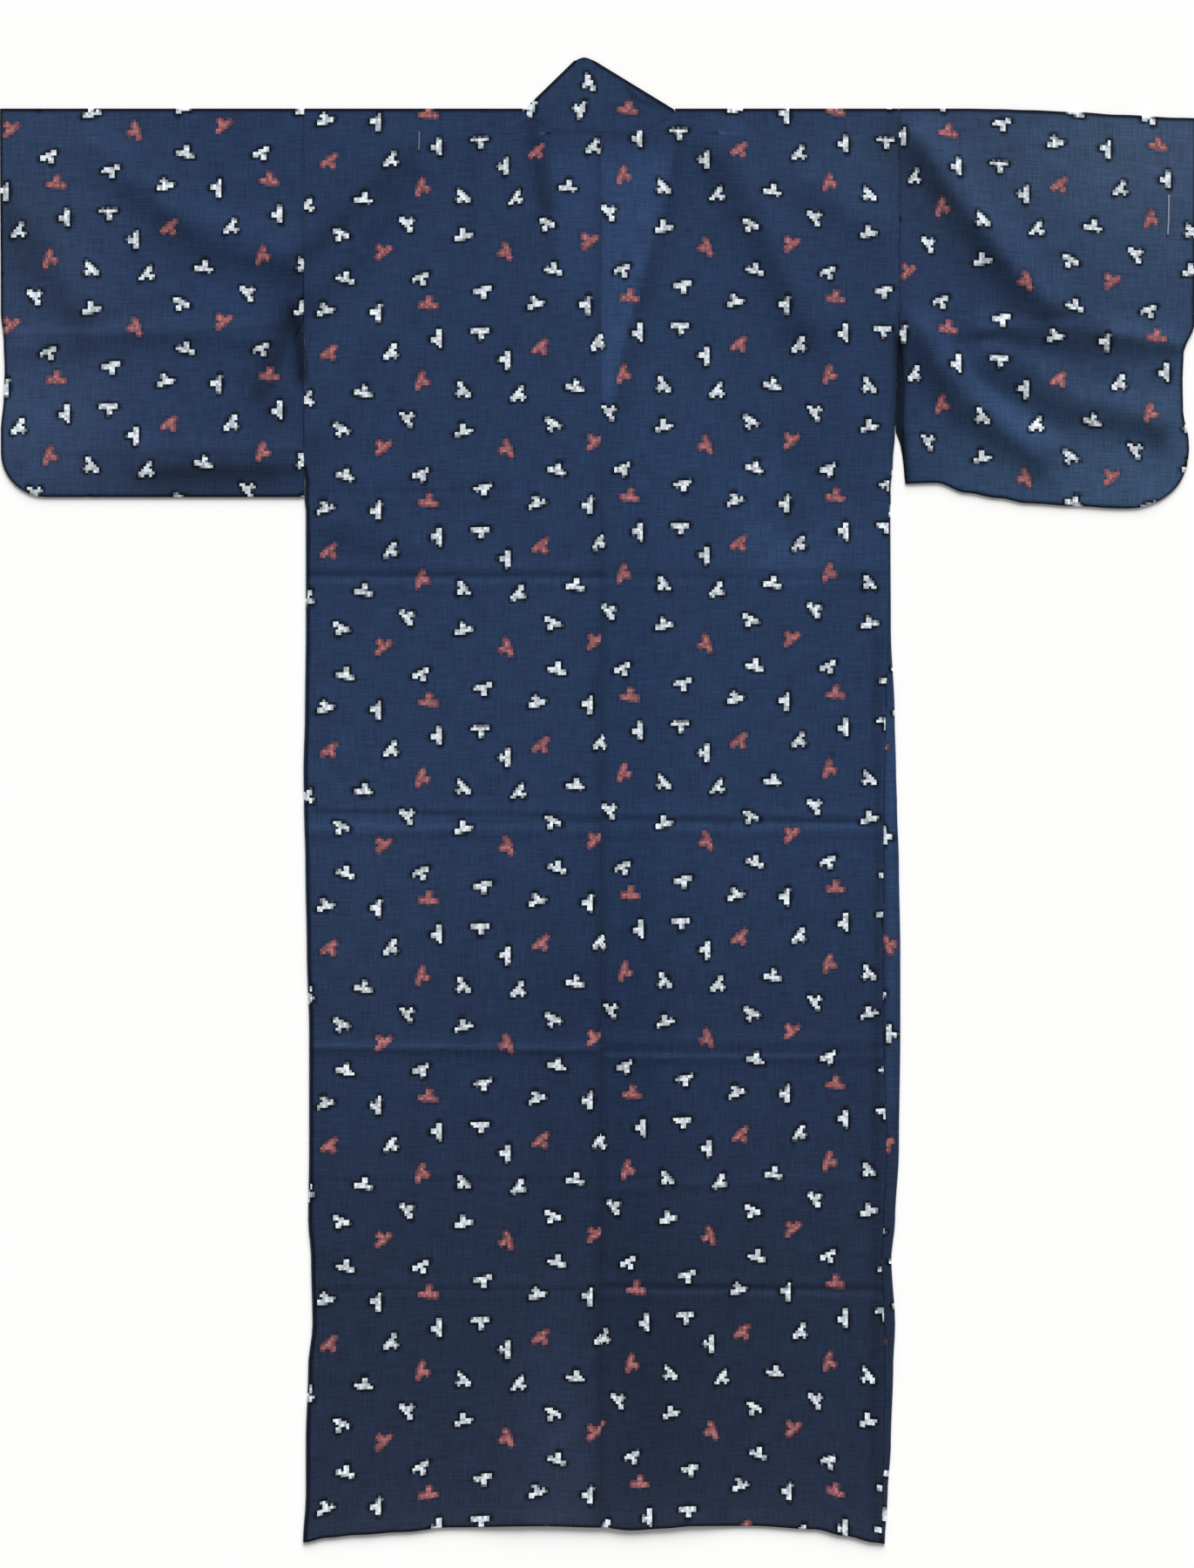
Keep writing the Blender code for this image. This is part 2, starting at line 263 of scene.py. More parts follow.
EDGES = (
    Edge(0, 314, 315, 0.4),
    Edge(225, 314, 315, 0.4),
    Edge(300, 314, 312.5, 0.4),
    Edge(345, 314, 311, 0.4),
    Edge(370, 314, 309, 0.4),
    Edge(411, 314, 307, 0.4),
    Edge(425, 312.5, 306.5, 0.4),
    Edge(550, 312.5, 307, 1),
    Edge(640, 313.5, 311, 8),
    Edge(700, 315, 312.5, 11),
    Edge(735, 314.5, 313.5, 13),
    Edge(800, 313, 315.5, 15),
    Edge(890, 311.5, 317, 17),
    Edge(975, 309, 317, 17),
    Edge(1100, 309, 315.5, 12),
    Edge(1175, 310, 311.5, 11),
    Edge(1215, 307, 307.5, 9),
    Edge(1285, 305.5, 311.5, 10),
    Edge(1325, 310, 309.5, 8),
    Edge(1400, 312.5, 307, 6),
    Edge(1450, 312.5, 303.5, 4),
    Edge(1500, 315.5, 300.5, 2),
)
HEMS = (
    Hem(-315, 16),
    Hem(-290, 11),
    Hem(-258, 8),
    Hem(-210, 5),
    Hem(-161, 0),
    Hem(-64, -1.5),
    Hem(0, 0),
    Hem(32, 3),
    Hem(65, 1),
    Hem(97, -1.5),
    Hem(161, -1.5),
    Hem(226, 2),
    Hem(258, 9),
    Hem(290, 16),
    Hem(303, 18),
)
FRONT_EDGES = (FrontEdge(0, 82.5, 78.5), FrontEdge(212, 75, 73), FrontEdge(1600, 68, 68))
LAPS = (
    Lap(-20, -82, -28),
    Lap(60, -80, -28),
    Lap(212, -75, -22),
    Lap(750, 7, 82),
    Lap(1600, 7, 82),
)
SLEEVE_ENDS = (
    SleeveEnd(0, 314.3, 314.3, 636, 315.3, 315.3, 630),
    SleeveEnd(215, 314.3, 314.3, 635, 315.3, 315.3, 628),
    SleeveEnd(245, 324, 314.3, 632, 316, 314.9, 616.5),
    SleeveEnd(275, 319, 314.3, 631, 319, 313.5, 615.5),
    SleeveEnd(305, 314.3, 314.3, 632, 321, 312.8, 616),
    SleeveEnd(338, 314.3, 314.3, 635, 320, 311.5, 622),
    SleeveEnd(349, 314.3, 314.3, 635, 320, 311.3, 623),
    SleeveEnd(365, 314.3, 314.3, 635, 320, 316.5, 625),
    SleeveEnd(385, 314.3, 313.9, 635, 321, 320, 627),
    SleeveEnd(397, 314.3, 313.5, 635, 322, 321, 627),
    SleeveEnd(410, 314.3, 314.0, 635, 323, 322, 627),
)
RIGHT_HANG = (
    Hang(315, 0, 396),
    Hang(355, 0, 395),
    Hang(387, 0, 405.5),
    Hang(420, 0.5, 411),
    Hang(452, 1.5, 416.5),
    Hang(500, 3.5, 419.5),
    Hang(549, 6.5, 422),
    Hang(612, 9.7, 424),
    Hang(630, 10, 424),
)
CREASES = (
    Crease(494, -0.6, -0.25, 9),
    Crease(755, -1.0, -0.7, 9),
    Crease(995, 0.9, -0.8, 9),
    Crease(1133, -0.2, -0.2, 7),
    Crease(1248, -0.3, -0.5, 7),
)
BODY_FOLDS = (
    Fold(-203, 59, -305, 190, 4, 24),
    Fold(-249, 234, -298, 345, 3, 22),
    Fold(-280, 440, -210, 460, 2, 20),
    Fold(131, 45, 215, 225, 4, 26),
    Fold(221, 77, 290, 124, 3, 20),
    Fold(180, 400, 280, 480, 2.5, 26),
)
SLEEVE_FOLDS = {
    Side.LEFT: (
        Fold(-535, 41, -461, 105, 3, 22),
        Fold(-461, 105, -335, 155, 4, 22),
        Fold(-600, 120, -544, 206, 3, 22),
        Fold(-615, 250, -484, 236, 2.5, 14),
        Fold(-484, 236, -360, 241, 2.5, 14),
        Fold(-484, 372, -330, 372, 3, 18),
    ),
    Side.RIGHT: (
        Fold(340, 35, 428, 155, 8, 20),
        Fold(428, 155, 470, 205, 7, 20),
        Fold(340, 240, 385, 310, 7, 20),
        Fold(385, 310, 465, 360, 6, 20),
        Fold(406, 232, 600, 246, 4, 15),
        Fold(415, 262, 489, 312, 6, 20),
        Fold(489, 312, 590, 330, 5, 20),
    ),
}
LEFT_TURNOVER = Turnover(-81.6, -1.6, -27, 51.5)
RIGHT_TURNOVER = Turnover(77.6, -1.2, -7, 50.5)
NECK_RUNGS = (
    Rung(-1, 8, -24.5, 53),
    Rung(-1, 15, -22, 54),
    Rung(-1, 21.6, -20, 54.7),
    Rung(-1, 23.6, -18, 55),
    Rung(-1, 24, -16.5, 54.8),
    Rung(1, 23.6, -14.5, 54.4),
    Rung(1, 21.6, -12.5, 53.7),
    Rung(1, 15, -10.5, 52.8),
    Rung(1, 8, -8, 51.8),
)
NECK_HOLLOW = (
    Hollow(27, -52, 78),
    Hollow(55, -52, 75),
    Hollow(84, -51, 71),
    Hollow(121, -49, 61),
    Hollow(157, -46, 49),
    Hollow(193, -38, 39),
    Hollow(229, -24, 30),
    Hollow(266, -4, 22),
    Hollow(302, 0, 14.5),
    Hollow(325, 2, 8),
)

PRINT_FALLS = {
    "body_left": (
        Fall(-182.6, 5.5, 41.4, 0),
        Fall(-182.6, 206.5, 41.4, 201),
        Fall(-182.6, 415.8, 41.4, 410.3),
        Fall(-182.6, 627, 41.4, 621.5),
        Fall(-182.6, 836.3, 41.4, 830.8),
        Fall(-182.6, 1045.5, 41.4, 1040),
        Fall(-182.6, 1253, 41.4, 1247.5),
        Fall(-182.6, 1463.2, 41.4, 1457.7),
    ),
    "body_right": (
        Fall(30.4, -11, 248, 1.8),
        Fall(30.4, 199.2, 248, 200),
        Fall(30.4, 410.3, 248, 410.3),
        Fall(30.4, 621.4, 248, 618.7),
        Fall(31, 830.7, 248, 824.3),
        Fall(33, 1041.9, 248, 1031.7),
        Fall(37, 1248.4, 248, 1242),
        Fall(41, 1451.2, 248, 1455.8),
    ),
    "sleeve_left": (
        Fall(-576.3, 79.3, -351.3, 75.6),
        Fall(-576.3, 286, -351.3, 282.1),
    ),
    "sleeve_right": (
        Fall(367, 24.9, 589.2, 38.7),
        Fall(367, 232.3, 587.3, 241.6),
    ),
    "okumi_left": (Fall(-60, 120, 164, 120), Fall(-60, 329, 164, 329)),
    "okumi_right": (Fall(-90, 60, 134, 60), Fall(-90, 269, 134, 269)),
}
SHADES = (
    Shade(0, 1, 1, 1),
    Shade(760, 1, 1, 1),
    Shade(872, 0.93, 0.90, 0.87),
    Shade(941, 0.88, 0.82, 0.81),
    Shade(1287, 0.83, 0.68, 0.60),
    Shade(1425, 0.88, 0.68, 0.60),
    Shade(1510, 1.08, 0.76, 0.62),
)
PATCHES = (
    Patch(600, 30, 300, 100, 1.0, 0.65, 0.34),
    Patch(600, 200, 150, 400, 0.6, 0.45, 0.25),
    Patch(560, 400, 150, 70, 0.7, 0.65, 0.4),
    Patch(-600, 200, 110, 500, 0.5, 0.3, 0.18),
    Patch(-600, 330, 90, 70, 0.35, 0.27, 0.2),
    Patch(-430, 388, 120, 28, -0.17, -0.3, -0.36),
    Patch(30, 950, 40, 560, -0.2, -0.12, -0.08),
    Patch(-45, 1480, 46, 170, 0.3, 0.14, 0.1),
    Patch(90, 1350, 90, 170, -0.08, -0.08, -0.08),
    Patch(-255, 850, 60, 190, 0.14, 0.1, 0.05),
    Patch(-262, 448, 60, 32, -0.14, -0.14, -0.14),
    Patch(238, 395, 44, 40, -0.12, -0.12, -0.12),
    Patch(212, 468, 56, 26, 0.26, 0.26, 0.22),
    Patch(60, 330, 90, 120, 0.1, 0.12, 0.1),
    Patch(195, 456, 50, 34, 0.26, 0.26, 0.24),
    Patch(250, 478, 40, 18, 0.12, 0.12, 0.1),
    Patch(194, 390, 44, 34, 0.08, 0.13, 0.13),
    Patch(-45, 1360, 40, 120, 0.08, 0.08, 0.08),
    Patch(262, 42, 44, 40, 0.1, 0.1, 0.08),
    Patch(400, 370, 80, 60, 0.2, 0.24, 0.12),
    Patch(-48, 1000, 30, 230, -0.12, -0.1, -0.08),
    Patch(-602, 120, 40, 50, -0.16, -0.18, -0.24),
    Patch(-540, 235, 60, 50, -0.1, -0.14, -0.14),
    Patch(-380, 190, 60, 40, 0.1, 0.1, 0.14),
    Patch(-340, 319, 26, 30, -0.12, -0.16, -0.18),
    Patch(-256, 395, 40, 30, 0.06, 0.09, 0.1),
    Patch(158, 420, 34, 50, 0.08, 0.12, 0.1),
    Patch(290, 50, 34, 34, 0.14, 0.15, 0.06),
    Patch(366, 112, 34, 34, 0.12, 0.13, 0.04),
    Patch(435, 319, 34, 34, 0.06, 0.1, 0.12),
    Patch(-10, -27, 60, 24, 0.12, 0.1, 0),
)
LINES = (
    Fold(-309, 493, 0, 495, -0.7, 4),
    Fold(0, 494, 290, 497, -0.3, 4),
    Fold(-304, 745, -37, 747, -0.9, 4),
    Fold(50, 756, 270, 756, -0.7, 4),
    Fold(-300, 993, 0, 994, 0.7, 4),
    Fold(6, 1001, 298, 1001, 0.7, 4),
    Fold(6, 1148, 93, 1136, 0.5, 4),
    Fold(93, 1136, 283, 1133, 0.5, 4),
    Fold(-300, 1249, -30, 1249, -0.4, 4),
    Fold(6, 1246, 295, 1252, -0.8, 4),
)
# Painted shade and painted light: shaded and lit sides of folds and creases, painted shadow in the
# armhole slits, and darker lines along the seams and the rolled side strip
PAINTED_SHADING_STREAKS = (
    Streak(((328, 30), (372, 101), (406, 144), (435, 177), (475, 210), (530, 232)), 7, 38, -0.36),
    Streak(((380, 239), (481, 231), (560, 243), (611, 254)), 4, 9, -0.3),
    Streak(((480, 226), (611, 246)), 6, 3, 0.12),
    Streak(((330, 228), (351, 269), (384, 307), (427, 349), (465, 378)), 6, 24, -0.3),
    Streak(((435, 266), (468, 294), (502, 312), (552, 322), (590, 346)), 11, 20, -0.32),
    Streak(((340, 222), (368, 262), (405, 300), (455, 345)), 8, 8, 0.12),
    Streak(((315.5, 244), (316.5, 275), (316.5, 310), (315, 345), (315, 368)), 6, 7, -0.85),
    Streak(((318, 345), (321, 375), (324, 408)), 5, 5, -0.8),
    Streak(((-491, 84), (-419, 155), (-325, 171)), 10, 22, -0.24),
    Streak(((-629, 100), (-600, 160), (-549, 229)), 12, 30, -0.2),
    Streak(((-636, 240), (-491, 240), (-330, 228)), 2, 6, -0.2),
    Streak(((-636, 234), (-500, 233)), 4, 2, 0.12),
    Streak(((-326, 215), (-340, 255), (-362, 302)), 8, 10, -0.3),
    Streak(((-324, 213), (-319, 240), (-316, 284)), 6, 9, -0.72),
    Streak(((-322, 195), (-348, 288)), 8, 26, -0.28),
    Streak(((-578, 364), (-324, 362)), 3, 5, -0.22),
    Streak(((-480, 384), (-324, 380)), 5, 9, -0.25),
    Streak(((-201, 48), (-256, 100), (-313, 160)), 16, 15, -0.34),
    Streak(((-225, 118), (-312, 215)), 10, 10, -0.12),
    Streak(((-135, 40), (-137, 170)), 9, 9, -0.1),
    Streak(((-88, 150), (-92, 330)), 8, 8, -0.06),
    Streak(((-309, 404), (-100, 401)), 3, 3, -0.16),
    Streak(((-300, 418), (-96, 416)), 3, 3, -0.12),
    Streak(((-73, 16), (-66, 60), (-60, 100)), 11, 9, -0.38),
    Streak(((-60, 100), (-55, 150)), 9, 8, -0.15),
    Streak(((114, 44), (145, 99), (183, 171), (220, 244)), 13, 18, -0.24),
    Streak(((192, 352), (200, 440)), 26, 5, -0.14),
    Streak(((80, 30), (73, 84), (52, 157), (32, 229), (12, 318)), 16, 3, -0.2),
    Streak(((-2, 30), (-2, 250)), 3, 5, -0.16),
    Streak(((289, 560), (291, 800), (289, 1100), (288, 1480)), 9, 3, -0.3),
    Streak(((305, 640), (308, 900), (305, 1060)), 6, 6, 0.38),
    Streak(((-309, 492), (0, 494)), 2.5, 2.5, -0.24),
    Streak(((2, 494), (290, 497)), 2.5, 2.5, -0.16),
    Streak(((-306, 742), (-140, 744)), 3, 3, -0.35),
    Streak(((-140, 745), (-4, 748)), 2.5, 2.5, -0.22),
    Streak(((-308, 752), (-165, 753)), 4, 9, 0.3),
    Streak(((4, 748), (270, 752)), 2.5, 2.5, -0.2),
    Streak(((4, 754), (118, 755)), 2, 2, 0.3),
    Streak(((140, 754), (275, 758)), 2, 2, 0.3),
    Streak(((-306, 989), (-8, 993)), 2, 2, 0.25),
    Streak(((-306, 995), (-8, 998)), 2.5, 2.5, -0.22),
    Streak(((-34, 986), (-6, 1034)), 3, 3, 0.14),
    Streak(((2, 995), (292, 997)), 2.5, 2.5, -0.28),
    Streak(((14, 1001), (240, 1002)), 1.8, 2.2, 0.3),
    Streak(((-306, 1133), (-6, 1131)), 2.5, 2.5, -0.12),
    Streak(((6, 1141), (76, 1130), (265, 1126)), 2, 2, 0.16),
    Streak(((-304, 1243), (-8, 1243)), 2, 2, 0.14),
    Streak(((-304, 1248), (-8, 1248)), 2.5, 2.5, -0.14),
    Streak(((6, 1243), (292, 1246)), 2.5, 2.5, -0.2),
    Streak(((30, 1249), (292, 1252)), 2, 2, 0.18),
    Streak(((26, -22), (40, -9), (66, -2)), 4, 3, -0.35),
    Streak(((-52, 22), (20, 26), (50, 25)), 2, 2, -0.12),
)
DRIFTS = {
    "body_left": (
        Drift(-30, 90, 60, 110, -8, -8),
        Drift(-76, 8, 12, 12, 9, -7),
        Drift(-5, 40, 26, 24, -4.5, -3.5),
        Drift(-3.7, 247, 13, 15, -5.1, -4.6),
        Drift(-2.3, 458.5, 13, 15, -3.7, -4),
        Drift(-1.4, 672, 13, 15, -2.8, -2.5),
        Drift(-1.8, 883, 13, 15, -3.2, -0.9),
        Drift(-2.9, 1094, 13, 15, -4.3, 1.8),
        Drift(0.5, 1300, 13, 15, -1, 1.5),
    ),
    "body_right": (
        Drift(302, 193, 26, 60, -5.5, 4.6),
        Drift(40, 32, 22, 22, -0.5, 5.6),
        Drift(82, 24, 20, 22, -1.8, 1.4),
        Drift(-2, 247, 13, 15, 5.9, -3.3),
        Drift(-2, 458.5, 13, 15, 7.3, -3),
        Drift(-1, 672, 13, 15, 8.2, -1),
        Drift(-1, 883, 13, 15, 6.8, 0.8),
        Drift(-1, 1094, 13, 15, 3.2, 2.5),
        Drift(0, 1300, 13, 15, 2.7, 3),
    ),
    "sleeve_left": (Drift(-320, -252, 20, 24, -26, 0), Drift(-322, 212, 12, 14, -2, 5)),
    "sleeve_right": (
        Drift(313, 130, 28, 420, 6.5, 0),
        Drift(317, -245, 20, 24, -26, 0),
        Drift(325, 382, 14, 16, -22, 0),
    ),
}
BIRDS = (
    Bird(11, 173, 186, Dye.WHITE),
    Bird(55, 179, 270, Dye.WHITE),
    Bird(-40, 160, 324, Dye.WHITE),
    Bird(83, 148, 174, Dye.WHITE),
    Bird(-69, 117, 79, Dye.WHITE),
    Bird(37, 118, 221, Dye.WHITE),
    Bird(95, 112, 322, Dye.WHITE),
    Bird(-23, 89, 36, Dye.WHITE),
    Bird(-92, 80, 243, Dye.WHITE),
    Bird(37, 74, 104, Dye.WHITE),
    Bird(-88, 30, 72, Dye.WHITE),
    Bird(-8, 30, 294, Dye.WHITE),
    Bird(58, 14, 283, Dye.WHITE),
    Bird(-109, -4, 107, Dye.WHITE),
    Bird(-53, -7, 176, Dye.WHITE),
    Bird(-105, 161, 307, Dye.RED),
    Bird(-8, 129, 342, Dye.RED),
    Bird(-48, 59, 129, Dye.RED),
    Bird(84, 55, 200, Dye.RED),
    Bird(0, 0, 84, Dye.RED),
)
COLLAR_BIRDS = (
    Bird(-12, 28.6, 205, Dye.WHITE),
    Bird(-21, -0.5, 161, Dye.WHITE),
    Bird(-74, 0.5, 161, Dye.WHITE),
    Bird(28.6, -0.5, 84, Dye.RED),
    Bird(70, 30, 36, Dye.WHITE),
    Bird(-100, 35, 294, Dye.RED),
    Bird(100, -20, 107, Dye.WHITE),
)


def soft(share: float) -> float:
    """Eased share from 0 to 1."""
    share = min(max(share, 0.0), 1.0)
    return share * share * (3 - 2 * share)


def straight(share: float) -> float:
    """A share as it is."""
    return share


def mix(low: float, high: float, share: float) -> float:
    """The value that lies a share of the way from low to high."""
    return low + (high - low) * share


def bell(distance: float, spread: float) -> float:
    """A rounded bump of height 1 that fades with the distance."""
    return math.exp(-((distance / spread) ** 2))


def read(
    table: Sequence[NamedTuple],
    at: float,
    column: str,
    ease: Callable[[float], float] = soft,
) -> float:
    """Reads a column of a table between its rows.

    Args:
        table: Rows in rising order of their first column.
        at: Place along the first column, in millimetres.
        column: Name of the column to read.
        ease: How the value goes from one row to the next.

    Returns:
        The value in the table's own units.
    """
    before = table[0]
    for row in table:
        if row[0] >= at:
            break
        before = row
    else:
        return getattr(before, column)
    if row is before:
        return getattr(row, column)
    share = ease((at - before[0]) / (row[0] - before[0]))
    return mix(getattr(before, column), getattr(row, column), share)


def gap_to(start: Sequence[float], end: Sequence[float], x: float, depth: float) -> float:
    """Distance of a place from the straight line between two others.

    Args:
        start: Place across and depth of one end.
        end: The same of the other.
        x: Place across.
        depth: Depth below the shoulder line.

    Returns:
        The distance, in millimetres.
    """
    along_x = end[0] - start[0]
    along_depth = end[1] - start[1]
    from_x = x - start[0]
    from_depth = depth - start[1]
    share = (from_x * along_x + from_depth * along_depth) / (along_x**2 + along_depth**2)
    share = min(max(share, 0.0), 1.0)
    return math.hypot(from_x - share * along_x, from_depth - share * along_depth)


def streak_strength(streak: Streak, x: float, depth: float) -> float:
    """How strongly a streak shows at a place, from 0 to 1.

    Args:
        streak: The streak.
        x: Place across.
        depth: Depth below the shoulder line.

    Returns:
        A share from 0 to 1.
    """
    nearest = math.inf
    reach = streak.left_reach
    for start, end in zip(streak.way, streak.way[1:]):
        gap = gap_to(start, end, x, depth)
        if gap < nearest:
            nearest = gap
            turned = (end[0] - start[0]) * (depth - start[1]) - (end[1] - start[1]) * (x - start[0])
            reach = streak.right_reach if turned > 0 else streak.left_reach
    return bell(nearest, reach)


class Spot(NamedTuple):
    """A place on a piece, in millimetres, with its place on the printed cloth and its shade."""

    x: float
    y: float
    z: float
    print_x: float
    print_y: float
    shade: tuple[float, float, float] = (1.0, 1.0, 1.0)


class Station(NamedTuple):
    """A row of a piece: its layer, its depth, and how far round a fold it is."""

    layer: Layer
    depth: float
    turn: float = 0.0


@dataclass(frozen=True)
class Layout:
    """Sizes that the pieces share, in millimetres, as in the solids.

    The levels are heights of the middle of the cloth. The under layer lies lower than in the
    solids, because the cloth is thinner than their walls.

    Attributes:
        place_x: Where the centre back seam lies in the frame.
        place_y: Where the shoulder line lies in the frame.
        cloth: Thickness of the cloth.
        seam_gap: Gap at a seam.
        step: How far a layer lifts what lies on it.
        under_level: Height of the lower layer.
        back_level: Height of the upper layer.
        half_wall: Half the thickness of the solids' walls.
        turn_radius: How far a fold stands out sideways.
        length: Depth of the hem before its uneven hang.
        neck_drop: Depth of the neck seam at the centre back.
        neck_top: Depth at which the neck is as wide as its point.
        neck_point: Half width of the neck on each side.
        neck_power: How square the neck's curve is.
        overlap_tip: Depth of the overlap panels' points.
        overlap_tip_width: Width of the points.
        collar_end: Depth at which the collar ends.
        collar_slant: How much deeper the collar's free corner reaches.
        hem_blend: Height over which the hem's hang is eased in.
        lap_margin: Flat cloth beside the edge of a front that lies underneath.
        lap_ramp: Width of the slope down from that margin.
        lap_start: Depth at which the fronts start to cross.
        lap_full: Depth from which they lie on each other.
        slit_end: Depth at which the front's side starts to roll up to its seam.
        seam_start: Depth from which it is rolled up.
        seam_clearing: How soon the back's edge makes room for the rolled side.
    """

    place_x: float = 3.0
    place_y: float = 731.4
    cloth: float = 0.6
    seam_gap: float = 0.3
    step: float = 1.7
    under_level: float = 0.35
    back_level: float = 2.3
    half_wall: float = 0.6
    turn_radius: float = 0.85
    length: float = 1500.0
    neck_drop: float = 24.0
    neck_top: float = 2.0
    neck_point: dict[Side, float] = field(default_factory=lambda: {Side.LEFT: 82.5, Side.RIGHT: 78.5})
    neck_power: float = 4.0
    overlap_tip: float = 212.0
    overlap_tip_width: float = 4.0
    collar_end: float = 750.0
    collar_slant: float = 6.0
    hem_blend: float = 260.0
    lap_margin: float = 10.0
    lap_ramp: float = 60.0
    lap_start: float = 180.0
    lap_full: float = 300.0
    slit_end: float = 370.0
    seam_start: float = 415.0
    seam_clearing: float = 2.2

    @property
    def middle(self) -> float:
        """Height half way between the two layers."""
        return (self.back_level + self.under_level) / 2

    @property
    def fold_radius(self) -> float:
        """Upright radius of a fold between the two layers."""
        return (self.back_level - self.under_level) / 2

    def lap_free(self, depth: float) -> float:
        """X of the left front's free edge."""
        return read(LAPS, depth, "free", straight)

    def right_rise(self, x: float, depth: float) -> float:
        """How far the left front lifts the right front that lies on it.

        Args:
            x: Place across.
            depth: Depth below the shoulder line.

        Returns:
            The rise, in millimetres.
        """
        reach = self.lap_free(depth) + self.lap_margin + self.lap_ramp - x
        started = soft((depth - self.lap_start) / (self.lap_full - self.lap_start))
        return self.step * soft(reach / self.lap_ramp) * started

    def back_rise(self, x: float, depth: float) -> float:
        """How far the crossing fronts lift the backs."""
        reach = x + self.lap_free(depth) + self.lap_margin + self.lap_ramp
        return self.right_rise(x, depth) * soft(reach / self.lap_ramp)

    def hemmed(self, x: float, depth: float) -> float:
        """Y of a place on the body, with the uneven hang of the hem eased in above it."""
        near = soft((depth - self.length + self.hem_blend) / self.hem_blend)
        return -depth - read(HEMS, x, "drop") * near

    def neckline(self, side: Side, depth: float) -> float:
        """Distance of the back's inner edge from the centre, at a depth above the neck seam."""
        share = (self.neck_drop - depth) / (self.neck_drop - self.neck_top)
        return self.neck_point[side] * max(share, 0.0) ** (1 / self.neck_power)

    def roll_of(self, depth: float) -> float:
        """How far the side of the front is rolled up to its seam, from 0 to 1."""
        return soft((depth - self.slit_end) / (self.seam_start - self.slit_end))

    def lip_reach(self, depth: float) -> float:
        """How far half the solid's wall stands out sideways where the side is part rolled."""
        return self.half_wall * math.sin(math.pi * self.roll_of(depth))

    def overlap_edge(self, depth: float) -> float:
        """X of the left overlap panel's outer edge: the collar's seam, then the front edge.

        Args:
            depth: Depth below the shoulder line.

        Returns:
            The place across, in millimetres.
        """
        seam = read(LAPS, depth, "seam", straight)
        slant = min(max((depth - self.collar_end) / self.collar_slant, 0.0), 1.0)
        share = (depth - self.overlap_tip) / self.overlap_tip
        tip = min(self.overlap_tip_width * max(0.0, 1 - share), self.overlap_tip_width)
        return mix(seam + tip, self.lap_free(depth), slant)


LAY = Layout()


def turn_rows() -> list[Station]:
    """Rows round the fold at the shoulder line, from the upper layer to the lower."""
    return [Station(Layer.TURN, 0, math.pi * step / TURN_STEPS) for step in range(TURN_STEPS + 1)]


@dataclass(frozen=True)
class Relief:
    """Creases, folds and ripples that stand on a layer of cloth.

    Sizes are in millimetres. The ripples are the cloth's own unevenness, drawn from smooth
    noise at two sizes.

    Attributes:
        folds: Soft folds.
        creases: Storage creases across the back.
        lines: Pressed lines along them.
        broad_size: Distance of the broad ripples.
        broad_height: Their height.
        fine_size: Distance of the fine ripples.
        fine_height: Their height.
        wander: How far a pressed line wavers.
        wander_size: Distance of its wavers across and down.
        line_window: How far from its depth a pressed line counts.
        seed: Where in the noise the ripples are taken from.
    """

    folds: tuple[Fold, ...]
    creases: tuple[Crease, ...] = ()
    lines: tuple[Fold, ...] = ()
    broad_size: float = 85.0
    broad_height: float = 0.42
    fine_size: float = 26.0
    fine_height: float = 0.16
    wander: float = 1.6
    wander_size: tuple[float, float] = (40.0, 300.0)
    line_window: float = 30.0
    seed: float = 0.0

    def crease_height(self, x: float, depth: float) -> float:
        """Height of the storage creases.

        Args:
            x: Place across.
            depth: Depth below the shoulder line.

        Returns:
            The height, in millimetres.
        """
        total = 0.0
        for crease in self.creases:
            height = crease.left if x < 0 else crease.right
            offset = (depth - crease.depth) / crease.spread
            ridge = math.exp(-offset * offset)
            banks = offset * offset * math.exp(1 - offset * offset)
            total += height * ridge if height > 0 else -height * banks
        return total

    def fold_height(self, x: float, depth: float) -> float:
        """Height of the highest soft fold.

        Args:
            x: Place across.
            depth: Depth below the shoulder line.

        Returns:
            The height, in millimetres.
        """
        highest = 0.0
        for fold in self.folds:
            gap = gap_to(fold[:2], fold[2:4], x, depth)
            highest = max(highest, fold.height * bell(gap, fold.spread))
        return highest

    def line_height(self, x: float, depth: float) -> float:
        """Height of the pressed lines, which waver a little.

        Args:
            x: Place across.
            depth: Depth below the shoulder line.

        Returns:
            The height, in millimetres.
        """
        across, down = self.wander_size
        wander = self.wander * noise.noise(Vector((x / across, depth / down, self.seed + 3)))
        total = 0.0
        for line in self.lines:
            if abs(depth - line.depth0) < self.line_window:
                gap = gap_to(line[:2], line[2:4], x, depth + wander)
                total += line.height * bell(gap, line.spread)
        return total

    def ripple(self, x: float, depth: float) -> float:
        """Height of the cloth's own unevenness.

        Args:
            x: Place across.
            depth: Depth below the shoulder line.

        Returns:
            The height, in millimetres.
        """
        broad = noise.noise(Vector((x / self.broad_size, depth / self.broad_size, self.seed)))
        fine = noise.noise(Vector((x / self.fine_size, depth / self.fine_size, self.seed + 7)))
        return broad * self.broad_height + fine * self.fine_height

    def height(self, x: float, depth: float) -> float:
        """Height of everything together."""
        pressed = self.crease_height(x, depth) + self.line_height(x, depth)
        return pressed + self.fold_height(x, depth) + self.ripple(x, depth)

    def top(self, x: float, depth: float) -> float:
        """Height of the upper side of the cloth."""
        return LAY.back_level + self.height(x, depth) + LAY.cloth / 2


